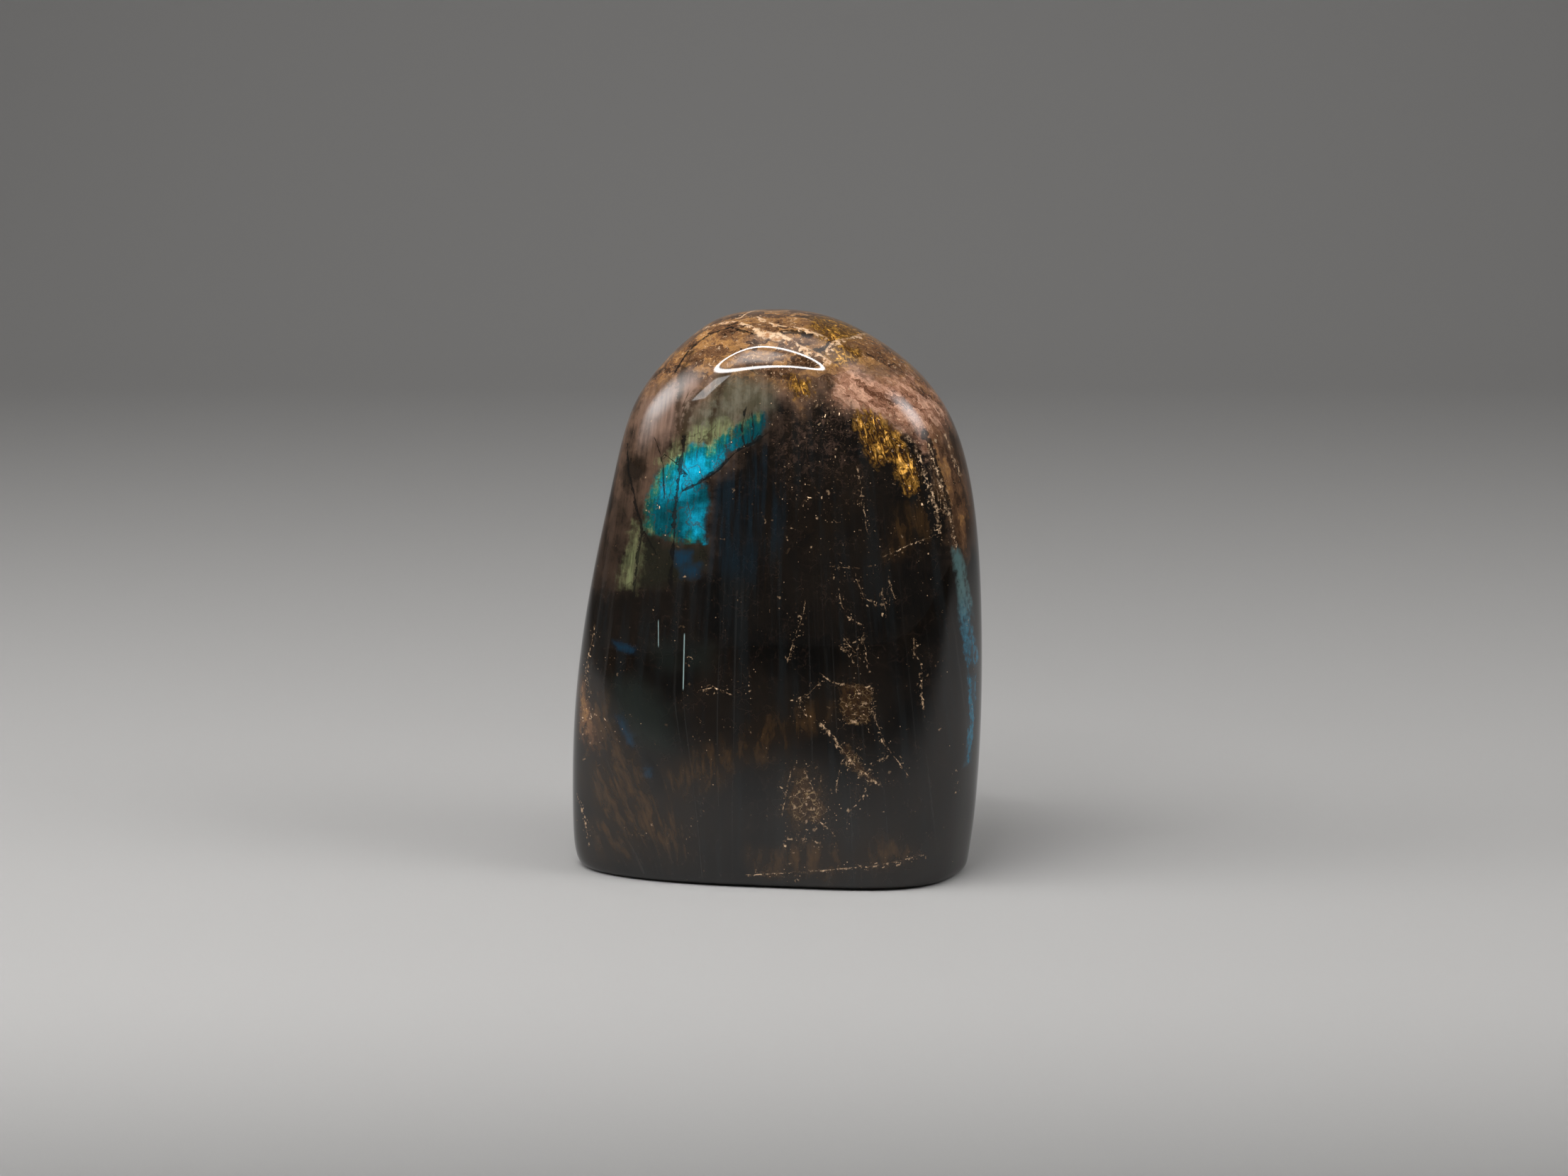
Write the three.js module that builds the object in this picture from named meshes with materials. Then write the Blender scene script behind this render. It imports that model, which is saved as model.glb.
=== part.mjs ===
// A free-standing piece of polished labradorite, 100 mm tall, cut and ground as one solid stone.
// Millimetres, +Z up. The origin is under the middle of the stone, on the surface that it stands on.
// The front, which holds the colour flash, faces -Y, and +X is the viewer's right.

import * as THREE from 'three';
import { NURBSCurve } from 'three/addons/curves/NURBSCurve.js';

// Driving dimensions, in millimetres
const HEIGHT = 100;
const WIDTH = 72.5;
const DEPTH = 44;

// Four guide curves run up the left, right, front and back of the stone. Each station is one control
// point of all four: its height is a share of HEIGHT, its reach to the left and right a share of half
// the WIDTH, and its reach to the front and back a share of half the DEPTH, from the stone's middle.
const STATIONS = [
  { height: 0, left: 0.925, right: 0.88, front: 0.935, back: 0.825 },      // rim of the flat foot
  { height: 0, left: 0.965, right: 0.935, front: 1.02, back: 0.91 },       // rounded foot edge begins
  { height: 0.024, left: 0.995, right: 0.94, front: 1.055, back: 0.945 },  // rounded foot edge ends
  { height: 0.1, left: 1, right: 0.975, front: 1.06, back: 0.955 },
  { height: 0.28, left: 0.995, right: 1.005, front: 1.025, back: 0.945 },  // widest
  { height: 0.5, left: 0.915, right: 1, front: 0.965, back: 0.92 },
  { height: 0.7, left: 0.785, right: 0.96, front: 0.875, back: 0.865 },    // the left side leans in
  { height: 0.865, left: 0.695, right: 0.82, front: 0.775, back: 0.78 },   // shoulders
  { height: 0.97, left: 0.385, right: 0.445, front: 0.57, back: 0.635 },
  { height: 1, left: 0.23, right: 0.195, front: 0.225, back: 0.385 },      // crown
  { height: 1, left: -0.03, right: 0.03, front: -0.09, back: 0.09 },       // top point
];

// A level section is a soft square that becomes round towards the crown.
const SQUARENESS = 0.72;
const CALM_START = 0.72;

// Soft vertical corners of the section: where each is round the stone, counted anticlockwise in
// degrees from the viewer's right, how far it stands out, and how narrow it is.
const CORNERS = [
  { angle: -152, reach: 0.07, sharpness: 18 },
  { angle: -57, reach: 0.09, sharpness: 14 },
  { angle: -16, reach: 0.02, sharpness: 30 },
];

// The whole stone is turned slightly, so its right side stands nearer the viewer.
const SKEW = -0.09;

// Steps round the stone and up it
const COLUMNS = 64;
const RINGS = 56;

// Labradorite away from its flash: a dark grey-brown under a high polish
const STONE_COLOUR = 0x3a3835;
const POLISH_ROUGHNESS = 0.12;

const GUIDE_DEGREE = 3;

/** Knots of a curve that starts at its first control point, ends at its last, and is even between. */
function clampedKnots(count) {
  const spans = count - GUIDE_DEGREE;
  const inner = Array.from({ length: spans + 1 }, (_, i) => i / spans);
  return [...Array(GUIDE_DEGREE).fill(0), ...inner, ...Array(GUIDE_DEGREE).fill(1)];
}

/** A guide curve in the plane of one side: x is the reach along that side's axis, y is the height. */
function guide(side, reach) {
  const points = STATIONS.map((station) => new THREE.Vector3(reach * station[side], HEIGHT * station.height, 0));
  return new NURBSCurve(GUIDE_DEGREE, clampedKnots(points.length), points);
}

const GUIDES = {
  left: guide('left', -WIDTH / 2),
  right: guide('right', WIDTH / 2),
  front: guide('front', -DEPTH / 2),
  back: guide('back', DEPTH / 2),
};

/** One point of the unit section: a squircle's radius, pushed out at the soft corners. */
function sectionPoint(angle, calm) {
  const square = SQUARENESS * calm * Math.sin(2 * angle);
  const squircle = Math.sqrt(2 / (1 + Math.sqrt(1 - square * square)));
  const corners = CORNERS.reduce((sum, corner) => {
    const apart = angle - THREE.MathUtils.degToRad(corner.angle);
    return sum + corner.reach * Math.exp(corner.sharpness * (Math.cos(apart) - 1));
  }, 0);
  const radius = squircle * (1 + calm * corners);
  return new THREE.Vector2(radius * Math.cos(angle), radius * Math.sin(angle));
}

/** The ring of points at one step up the guides, anticlockwise from the viewer's right. */
function ringPoints(step) {
  const left = GUIDES.left.getPoint(step);
  const right = GUIDES.right.getPoint(step).x;
  const front = GUIDES.front.getPoint(step).x;
  const back = GUIDES.back.getPoint(step).x;
  const calm = 1 - THREE.MathUtils.smoothstep(step, CALM_START, 1);
  const halfWidth = (right - left.x) / 2;
  return Array.from({ length: COLUMNS }, (_, column) => {
    const unit = sectionPoint((2 * Math.PI * column) / COLUMNS, calm);
    const x = (left.x + right) / 2 + halfWidth * unit.x;
    const y = (front + back) / 2 + ((back - front) / 2) * unit.y + SKEW * halfWidth * unit.x;
    return new THREE.Vector3(x, y, left.y);
  });
}

/** The stone's closed skin: rings lofted up the guides, a fan under the foot and one at the crown. */
function stoneGeometry() {
  const rings = Array.from({ length: RINGS }, (_, ring) => ringPoints(ring / RINGS));
  const footCentre = rings[0].reduce((sum, point) => sum.add(point), new THREE.Vector3()).divideScalar(COLUMNS);
  const top = GUIDES.left.getPoint(1);
  const topPoint = new THREE.Vector3(top.x, GUIDES.front.getPoint(1).x, top.y);
  const points = [...rings.flat(), footCentre, topPoint];
  const footIndex = RINGS * COLUMNS;
  const topIndex = footIndex + 1;
  const lastRing = (RINGS - 1) * COLUMNS;

  const faces = [];
  for (let column = 0; column < COLUMNS; column += 1) {
    const next = (column + 1) % COLUMNS;
    faces.push(footIndex, next, column);
    for (let ring = 0; ring < RINGS - 1; ring += 1) {
      const below = ring * COLUMNS;
      const above = below + COLUMNS;
      faces.push(below + column, below + next, above + next);
      faces.push(below + column, above + next, above + column);
    }
    faces.push(lastRing + column, lastRing + next, topIndex);
  }

  const geometry = new THREE.BufferGeometry().setFromPoints(points);
  geometry.setIndex(faces);
  geometry.computeBoundingBox();
  const middle = geometry.boundingBox.getCenter(new THREE.Vector3());
  geometry.translate(-middle.x, -middle.y, 0);
  geometry.computeVertexNormals();
  return geometry;
}

/** The polished stone, one solid. */
function makeStone() {
  const polish = new THREE.MeshStandardMaterial({
    name: 'labradorite',
    color: STONE_COLOUR,
    roughness: POLISH_ROUGHNESS,
    metalness: 0,
  });
  const stone = new THREE.Mesh(stoneGeometry(), polish);
  stone.name = 'stone';
  return stone;
}

const labradorite = new THREE.Group();
labradorite.add(makeStone());

export default labradorite;
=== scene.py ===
"""Looks of a polished, free-standing labradorite: its surface and stone, the floor, the lamps, the camera.

Shapes and marks are in millimetres and become metres where a mesh is made. The front faces -Y.
"""

import bpy
import numpy as np
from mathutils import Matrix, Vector
from mathutils.bvhtree import BVHTree


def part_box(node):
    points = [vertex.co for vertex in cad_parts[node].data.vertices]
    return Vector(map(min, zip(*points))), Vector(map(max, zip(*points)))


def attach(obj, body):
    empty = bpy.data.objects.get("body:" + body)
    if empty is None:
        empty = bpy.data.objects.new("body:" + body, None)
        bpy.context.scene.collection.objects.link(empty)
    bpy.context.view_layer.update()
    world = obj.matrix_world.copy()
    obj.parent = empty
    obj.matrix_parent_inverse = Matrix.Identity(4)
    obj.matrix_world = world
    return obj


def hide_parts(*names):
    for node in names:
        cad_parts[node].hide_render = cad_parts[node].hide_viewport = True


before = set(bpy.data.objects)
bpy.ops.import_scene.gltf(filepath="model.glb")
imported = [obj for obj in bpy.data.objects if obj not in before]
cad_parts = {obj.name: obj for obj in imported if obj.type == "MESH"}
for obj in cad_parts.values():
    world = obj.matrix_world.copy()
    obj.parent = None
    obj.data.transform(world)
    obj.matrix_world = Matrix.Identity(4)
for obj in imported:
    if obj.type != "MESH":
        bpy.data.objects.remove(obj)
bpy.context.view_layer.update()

MM = 0.001

# Driving sizes of the stone, as in the solid
HEIGHT = 100.0
WIDTH = 72.5
DEPTH = 44.0

# Control points of the four guide curves, from the foot to the crown, as shares of the height, of half
# the width and of half the depth
GUIDE_HEIGHT = [0, 0, 0.024, 0.1, 0.28, 0.5, 0.7, 0.865, 0.97, 1, 1]
GUIDE_LEFT = [0.925, 0.965, 0.995, 1, 0.995, 0.915, 0.785, 0.695, 0.385, 0.23, -0.03]
GUIDE_RIGHT = [0.88, 0.935, 0.94, 0.975, 1.005, 1, 0.96, 0.82, 0.445, 0.195, 0.03]
GUIDE_FRONT = [0.935, 1.02, 1.055, 1.06, 1.025, 0.965, 0.875, 0.775, 0.57, 0.225, -0.09]
GUIDE_BACK = [0.825, 0.91, 0.945, 0.955, 0.945, 0.92, 0.865, 0.78, 0.635, 0.385, 0.09]

# The level section: squareness, where it turns round, soft corners (degrees, reach, sharpness), skew
SQUARENESS = 0.72
CALM_START = 0.72
CORNERS = [(-152, 0.07, 18), (-57, 0.09, 14), (-16, 0.02, 30)]
SKEW = -0.09

# Steps of the fine surface, closest on the front, and rings of the flat foot
COLUMNS = 400
RINGS = 220
FOOT_RINGS = 14
FRONT_CROWDING = 0.4
FRONT_ANGLE = -np.pi / 2

# Steps that measure a guide's length, and the last step that a spline is worked out at
LENGTH_STEPS = 4000
LAST_STEP = 1 - 1e-12

# Where marks are seen from, as (degrees round from the front towards the right, degrees up)
FRONT = (0, 0)
CROWN = (0, 40)
RIGHT_EDGE = (55, 0)
LEFT_EDGE = (-60, 0)
RIGHT_SIDE = (100, 0)
LEFT_SIDE = (-105, 0)
BACK = (180, 0)
BACK_CROWN = (180, 40)


def smooth(value, low, high):
    """A ramp from 0 at low to 1 at high that starts and ends level: 3t^2 - 2t^3."""
    t = np.clip((value - low) / (high - low), 0, 1)
    return t * t * (3 - 2 * t)


def spline_basis(count, steps, degree=3):
    """Weights of the control points of a clamped, even B-spline at the steps 0 to 1.

    The first order is 1 inside each knot span, and each higher order blends two neighbours of the last
    by how far the step lies between their knots.
    """
    knots = np.concatenate([np.zeros(degree), np.linspace(0, 1, count - degree + 1), np.ones(degree)])
    steps = np.clip(steps, 0, LAST_STEP)[:, None]
    basis = ((steps >= knots[:-1]) & (steps < knots[1:])).astype(float)
    for order in range(1, degree + 1):
        rise = knots[order:-1] - knots[:-order - 1]
        fall = knots[order + 1:] - knots[1:-order]
        none = np.zeros((len(steps), len(rise)))
        up = np.divide(steps - knots[:-order - 1], rise, where=rise > 0, out=none.copy())
        down = np.divide(knots[order + 1:] - steps, fall, where=fall > 0, out=none.copy())
        basis = up * basis[:, :-1] + down * basis[:, 1:]
    return basis


def even_steps(count):
    """Steps up the guides that lie evenly along the front guide's own length."""
    fine = np.linspace(0, 1, LENGTH_STEPS)
    basis = spline_basis(len(GUIDE_HEIGHT), fine)
    line = np.stack([basis @ GUIDE_FRONT * DEPTH / 2, basis @ GUIDE_HEIGHT * HEIGHT], 1)
    length = np.concatenate([[0], np.cumsum(np.linalg.norm(np.diff(line, axis=0), axis=1))])
    return np.interp(np.linspace(0, length[-1], count), length, fine)


def column_angles():
    """Angles round the section: even ones, drawn towards the front by a sine."""
    even = np.arange(COLUMNS) * 2 * np.pi / COLUMNS
    return even - FRONT_CROWDING * np.sin(even - FRONT_ANGLE)


def section(angles, calm):
    """Unit section at each ring: a squircle's radius, times one plus a narrow bump at each soft corner.

    The squircle's radius is sqrt(2 / (1 + sqrt(1 - (s sin 2t)^2))), and a bump is
    reach * exp(sharpness * (cos(t - corner) - 1)). Both fade as calm goes to 0.
    """
    square = (SQUARENESS * calm * np.sin(2 * angles)) ** 2
    radius = np.sqrt(2 / (1 + np.sqrt(1 - square)))
    bumps = 0
    for corner, reach, sharpness in CORNERS:
        bumps = bumps + reach * np.exp(sharpness * (np.cos(angles - np.radians(corner)) - 1))
    radius = radius * (1 + calm * bumps)
    return radius * np.cos(angles), radius * np.sin(angles)


def stone_rings():
    """The loft: at each step up, the unit section stretched between the four guides and skewed."""
    steps = even_steps(RINGS + 1)
    basis = spline_basis(len(GUIDE_HEIGHT), steps)
    left, right = -basis @ GUIDE_LEFT * WIDTH / 2, basis @ GUIDE_RIGHT * WIDTH / 2
    front, back = -basis @ GUIDE_FRONT * DEPTH / 2, basis @ GUIDE_BACK * DEPTH / 2
    calm = 1 - smooth(steps, CALM_START, 1)
    across, along = section(column_angles()[None, :], calm[:, None])
    half = ((right - left) / 2)[:, None]
    x = ((left + right) / 2)[:, None] + half * across
    y = ((front + back) / 2)[:, None] + ((back - front) / 2)[:, None] * along + SKEW * half * across
    z = np.broadcast_to((basis @ GUIDE_HEIGHT * HEIGHT)[:, None], x.shape)
    return np.stack([x, y, z], -1)


def stone_points():
    """All points: the foot's centre, its rings from the centre out, the loft's rings, and the top."""
    rings = stone_rings()
    rim, top = rings[0], rings[-1].mean(0)
    centre = rim.mean(0)
    shares = (np.arange(1, FOOT_RINGS) / FOOT_RINGS)[:, None, None]
    foot = centre + shares * (rim - centre)
    points = np.concatenate([centre[None], foot.reshape(-1, 3), rings[:-1].reshape(-1, 3), top[None]])
    low, high = (np.array(corner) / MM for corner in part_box("stone"))
    size = points.max(0) - points.min(0)
    return low + (points - points.min(0)) * (high - low) / size


def stone_faces():
    """Quads between neighbouring rings, and a fan of triangles at the foot's centre and at the top."""
    rings = FOOT_RINGS - 1 + RINGS
    column = np.arange(COLUMNS)
    after = np.roll(column, -1)
    start = 1 + COLUMNS * np.arange(rings - 1)[:, None]
    quads = np.stack([start + column, start + after, start + COLUMNS + after, start + COLUMNS + column], -1)
    last = 1 + COLUMNS * (rings - 1)
    foot_fan = np.stack([np.zeros_like(column), 1 + after, 1 + column], -1)
    top_fan = np.stack([last + column, last + after, np.full_like(column, last + COLUMNS)], -1)
    return quads.reshape(-1, 4).tolist() + foot_fan.tolist() + top_fan.tolist()


def make_stone():
    """The stone's fine surface, closed and smooth."""
    points = stone_points()
    mesh = bpy.data.meshes.new("polished_stone")
    mesh.from_pydata((points * MM).tolist(), [], stone_faces())
    mesh.polygons.foreach_set("use_smooth", np.ones(len(mesh.polygons), bool))
    mesh.update()
    stone = bpy.data.objects.new("polished_stone", mesh)
    bpy.context.scene.collection.objects.link(stone)
    return stone


# Colours of the stone, as linear light: the dark body and its lamellae
NEAR_BLACK = (0.004, 0.0035, 0.003, 1.0)
SMOKY = (0.012, 0.0085, 0.006, 1.0)
SLATE = (0.014, 0.017, 0.018, 1.0)
UMBER = (0.020, 0.011, 0.005, 1.0)
MIST_BROWN = (0.022, 0.015, 0.010, 1.0)
NEEDLE_GREY = (0.042, 0.040, 0.038, 1.0)
CRUMB_BROWN = (0.120, 0.070, 0.050, 1.0)
# The shoulders and the crown, with light from above painted in
SHOULDER_DARK = (0.032, 0.021, 0.014, 1.0)
SHOULDER_PALE = (0.215, 0.128, 0.085, 1.0)
CROWN_DARK = (0.040, 0.018, 0.008, 1.0)
CROWN_RUST = (0.175, 0.085, 0.040, 1.0)
CROWN_GOLD = (0.500, 0.250, 0.085, 1.0)
BROWN_DEEP = (0.020, 0.011, 0.005, 1.0)
BROWN_GOLD = (0.110, 0.055, 0.018, 1.0)
# Pinkish painted sheen for the left shoulder
PAINTED_SHEEN = (0.420, 0.265, 0.200, 1.0)
STREAK_BROWN = (0.045, 0.026, 0.013, 1.0)
SAGE_DARK = (0.100, 0.090, 0.054, 1.0)
SAGE_PALE = (0.210, 0.196, 0.140, 1.0)
OLIVE_DARK = (0.018, 0.018, 0.011, 1.0)
SAGE_DEEP = (0.020, 0.026, 0.022, 1.0)
ROSE_DARK = (0.120, 0.045, 0.022, 1.0)
ROSE_BROWN = (0.430, 0.200, 0.120, 1.0)
# Palest rose: partly the feldspar's own colour, partly painted sheen
ROSE_PALE_SHEEN = (0.900, 0.520, 0.350, 1.0)
GOLD_DEEP = (0.140, 0.058, 0.007, 1.0)
GOLD_BRIGHT = (0.800, 0.410, 0.075, 1.0)
FACET_GOLD = (0.380, 0.250, 0.120, 1.0)
CREAM_PALE = (0.880, 0.600, 0.370, 1.0)
CREAM_RUST = (0.480, 0.220, 0.080, 1.0)
# The flash, from its rim inwards
LIME_GREEN = (0.330, 0.370, 0.170, 1.0)
FLASH_GREEN = (0.020, 0.180, 0.130, 1.0)
FLASH_TEAL = (0.001, 0.140, 0.180, 1.0)
FLASH_AZURE = (0.004, 0.270, 0.410, 1.0)
DIM_BLUE = (0.008, 0.020, 0.030, 1.0)
DEEP_BLUE = (0.006, 0.050, 0.100, 1.0)
SIDE_BLUE = (0.004, 0.200, 0.330, 1.0)
SIDE_PALE = (0.100, 0.190, 0.190, 1.0)
# Cracks, and painted glints
CRACK_DARK = (0.008, 0.007, 0.006, 1.0)
GLINT_RUST = (0.160, 0.080, 0.035, 1.0)
GLINT_PALE = (0.950, 0.660, 0.410, 1.0)
# Pale blue-white for the painted hair-thin glints
HAIR_GLINT_WHITE = (0.400, 0.550, 0.540, 1.0)

# How strongly places are torn: the scale of the noise and its reach in millimetres
TEAR_SCALE = 0.7
TEAR_REACH = 2.4

# Noise steps per millimetre across the twin lamellae, into the stone and along them
SHEET_STRETCH = (0.55, 0.18, 0.03)
FIBRE_STRETCH = (3.0, 0.8, 0.16)
MIST_STRETCH = (0.1, 0.1, 0.07)
NEEDLE_STRETCH = (1.5, 0.1, 0.012)
STAIN_STRETCH = (0.6, 0.5, 0.16)
RIDGE_STRETCH = (0.4, 0.3, 0.13)
BREAK_STRETCH = (0.4, 0.3, 0.16)

# The same across the stone, into it and up it, and how far each is turned first, in radians
CROWN_STRETCH = (0.24, 0.4, 0.7)
ROSE_TURN = -0.6
ROSE_STRETCH = (0.3, 0.5, 0.95)
STRAND_STRETCH = (0.4, 1.0, 3.4)
CRYSTAL_TURN = 0.36
CRYSTAL_STRETCH = (1.1, 0.9, 0.42)

# Cells per millimetre: shell-like breaks, seams, the facet's net, tilted crystals, chips and specks
SHELL_CELLS = 0.42
SEAM_CELLS = 0.5
NET_CELLS = 0.8
FACET_CELLS = 1.1
CHIP_CELLS = 1.5
SPECK_CELLS = 3.6

# How far the lamellae that flash are tilted from the skin, as a push on the unit normal
FLASH_TILT = (0.10, 0.0, 0.42)
FLASH_METAL = 0.5
SPARKLE_METAL = 0.45
INNER_ROUGHNESS = 0.4
RELIEF_STRENGTH = 0.4
RELIEF_DEPTH = 0.0002

# The polish, a clear coat that ends just above the ground foot, at these heights in millimetres
POLISH_ROUGHNESS = 0.03
POLISH_IOR = 1.56
DULL_BELOW = 0.05
POLISHED_ABOVE = 0.35

# The stage, in metres: a pale sweep, a ring lamp, soft panels and a dim surround
FLOOR_PALE = (0.52, 0.51, 0.50, 1.0)
FLOOR_DIM = (0.08, 0.08, 0.08, 1.0)
FLOOR_ROUGHNESS = 0.7
SWEEP_FRONT = -0.9
SWEEP_DIM_FROM = -0.07
SWEEP_DIM_TO = -0.28
SWEEP_BACK = 0.7
SWEEP_BEND = 0.5
SWEEP_BEND_STEPS = 24
SWEEP_TOP = 1.6
SWEEP_SIDE = 1.8
SURROUND = (0.06, 0.06, 0.06, 1.0)
WHITE = (1.0, 1.0, 1.0, 1.0)
LAMP_AIM = np.array([0.0, 0.0, 0.05])
RING_PLACE = (-35, 58.6)
RING_FAR = 0.42
RING_WIDE = 0.146
RING_TALL = 0.100
RING_BAND = (0.014, 0.026)
RING_PIECES = 96
RING_RADIANCE = 26.0
RING_SOFT_FROM = 0.2
# Name, place in degrees round and up, distance, width, height, radiance, where its soft edge starts
PANELS = [
    ("soft_top", (10, 84), 1.1, 1.3, 1.1, 1.5, 0.3),
    ("ring_haze", (-40, 58), 0.43, 0.24, 0.14, 5.0, 0.3),
    ("small_window", (-46.7, 38.1), 0.42, 0.045, 0.095, 4.5, 0.85),
    ("soft_left", (-80, 32), 0.7, 0.5, 0.6, 7.0, 0.1),
    ("soft_right", (72, 38), 0.7, 0.5, 0.5, 7.5, 0.1),
]

# A reach or distance past this is cut off. A line is laid on the stone in steps of LINE_STEP, each
# dropped on to it from as far out as DROP_FROM
FAR_OUTSIDE = 12.0
LINE_STEP = 2.0
DROP_FROM = 120.0

# The twin lamellae fan out from above the crown, and lean further low on the left
FAN = 0.005
FAN_HEIGHT = 60.0
LOW_LEAN = 0.6
LOW_LEAN_HEIGHT = 36.0
LOW_LEAN_EASE = 14.0
LEAN_STARTS_LEFT = 6.0
LEAN_FULL_LEFT = 26.0

# Marks lie in millimetres across and up, as seen from the place that is named first.

# Where light from above is painted into the stone's colour, down to the flash's lower edge
DAYLIGHT = [
    (-50, 47), (-33, 49.8), (-27, 52), (-22, 53.2), (-17.6, 54.5), (-11.7, 57), (-11.7, 70.5), (-10, 73.7),
    (-2.2, 80), (0.7, 85.5), (8, 86.5), (14.8, 83.3), (22.8, 80.5), (26.6, 78.7), (30.4, 69.3), (31, 58.2),
    (50, 54), (50, 120), (-50, 120),
]

# The blue-green flash and its pale yellow-green rims
FLASH = [
    (FRONT, [
        (-1.8, 84.2), (-3.9, 83.5), (-5.8, 82.9), (-7.2, 81.2), (-9.5, 80.3), (-10.6, 79.1), (-12.2, 78.2),
        (-14.9, 78.1), (-16.7, 77.5), (-17.8, 76), (-19.5, 74.5), (-20.9, 73.1), (-21.5, 70.6), (-23.2, 67.4),
        (-23.3, 65.5), (-23.4, 63.1), (-22.5, 62.3), (-19.7, 61.6), (-18.1, 60.9), (-15, 61), (-12.5, 61.2),
        (-12.2, 64.7), (-11.7, 67.6), (-11.7, 71.1), (-13, 71.8), (-12.2, 72.7), (-10, 73.9), (-8.6, 76.2),
        (-8, 76.9), (-5.8, 77.9), (-3.9, 78.7), (-2.2, 80.1), (-1.4, 82.3),
    ]),
    (BACK, [
        (-15, 49), (-12, 56), (-6, 60), (-1, 66), (6, 70), (11, 69), (12, 64), (7, 59), (1, 54), (-6, 49),
        (-12, 46),
    ]),
    (BACK, [(10, 36), (13, 42), (15, 46), (17, 44), (15, 38), (12, 33)]),
    (RIGHT_SIDE, [(-9, 30), (-8, 40), (-5, 49), (-2, 52), (-2, 44), (-4, 36), (-6, 28)]),
]
LIME = [
    (FRONT, [
        (-9.2, 82.1), (-12.2, 81.5), (-14.9, 80.4), (-17.2, 78.6), (-18.6, 76.3), (-20.5, 74.4),
        (-19.2, 73.8), (-16.7, 76.4), (-14.8, 77.5), (-11.7, 77.6), (-9, 79.4), (-6.7, 81.2),
    ]),
    (FRONT, [(-24.8, 63.9), (-26.1, 58.5), (-27.4, 52.7), (-25.2, 52.3), (-23.7, 57.5), (-23.9, 63)]),
    (BACK, [(-14, 56), (-6, 62), (0, 69), (5, 72), (4, 70), (-2, 65), (-8, 59), (-14, 53)]),
]

# Where the flash is brightest
FLASH_CORE = [
    (FRONT, [
        (-21.5, 71), (-19.5, 75), (-17, 77.5), (-12, 78), (-8.5, 79), (-9.5, 75.5), (-13.5, 72),
        (-16, 69.5), (-20.5, 68.5),
    ]),
    (FRONT, [(-15.6, 66.5), (-12.4, 66.5), (-12.6, 61.5), (-15, 61.5)]),
    (BACK, [(-6, 58), (-1, 64), (6, 68), (9, 66), (4, 60), (-2, 55)]),
]

# Small deep-blue pieces of flash: two under the main one and three low on the left
DEEP_FLASH = [
    (FRONT, [(-18, 59.3), (-14.8, 59.4), (-15, 57.2), (-17.6, 57)]),
    (FRONT, [(-16.7, 56.8), (-13.4, 57.2), (-13.6, 55.4), (-16.5, 55.2)]),
    (FRONT, [(-28.5, 29.6), (-27.6, 29.7), (-25.7, 26.1), (-25.3, 24.6), (-26.3, 25.3)]),
    (FRONT, [(-23.4, 20.6), (-22.2, 20.8), (-22, 19.6), (-23, 19.4)]),
    (FRONT, [(-28.8, 42.6), (-25.2, 41.9), (-25, 41), (-28, 41.6)]),
]

# Paler pieces of flash, one above another down the right edge
SIDE_FLASH = [
    (RIGHT_EDGE, [
        (4.4, 60.1), (6.2, 59.9), (8, 56.5), (9.6, 51.2), (10.8, 47.5), (8.3, 48.6), (5.3, 53.1),
    ]),
    (RIGHT_EDGE, [
        (5.2, 53.5), (7.2, 51), (9.6, 45.3), (12.1, 40), (11.7, 38.3), (7.6, 39.1), (6.6, 42.1),
        (5.4, 48.9),
    ]),
    (RIGHT_EDGE, [
        (7.6, 37.1), (10.8, 36.6), (11, 32.8), (10, 28), (9, 21), (6.6, 21.2), (8, 28.3), (7.6, 33.6),
    ]),
]

# Painted sheen: pinkish light painted under the polish of the left shoulder
PAINTED_SHEEN_PATCHES = [
    (FRONT, [
        (-23, 79), (-22.1, 83.3), (-19.2, 87.2), (-14.5, 89.8), (-12.1, 89), (-14.5, 85), (-16.9, 81.4),
        (-19.8, 79),
    ]),
    (BACK_CROWN, [(8, 54), (14, 60), (22, 56), (24, 48), (16, 46)]),
]

# Grey-green feldspar between the flash and the crown, and soft grey-green depths low on the left
SAGE = [
    (FRONT, [
        (-16.5, 87), (-13, 85.1), (-9.5, 89.4), (-4.3, 90.1), (-0.6, 88.4), (-0.3, 84.9), (-6.7, 82.7),
        (-11.7, 80.6), (-16.1, 79.1), (-17, 82.5),
    ]),
    (BACK, [(-12, 66), (-8, 76), (2, 82), (12, 80), (16, 74), (6, 73), (-2, 69), (-8, 63)]),
]
OLIVE = [
    (FRONT, [
        (-23.7, 62.7), (-24.3, 52.8), (-21.1, 53), (-18, 54.2), (-15.2, 55), (-12.1, 57), (-12.3, 60.9),
        (-19.2, 60.6),
    ]),
]
DEEP_SAGE = [
    (FRONT, [
        (-28.7, 35.4), (-24.4, 36.3), (-19.3, 31.7), (-18.1, 24.2), (-21.3, 23.5), (-25.3, 26.2),
        (-28, 29.7),
    ]),
    (FRONT, [(-20.8, 42.4), (-18.2, 42.6), (-18, 39.2), (-20.6, 39)]),
    (FRONT, [(-15.4, 42), (-12.6, 42), (-12.6, 39.6), (-15.2, 39.4)]),
    (BACK, [(14, 30), (22, 34), (24, 22), (18, 12), (12, 16)]),
    (LEFT_SIDE, [(-8, 58), (2, 66), (8, 56), (4, 46), (-6, 48)]),
]

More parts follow.
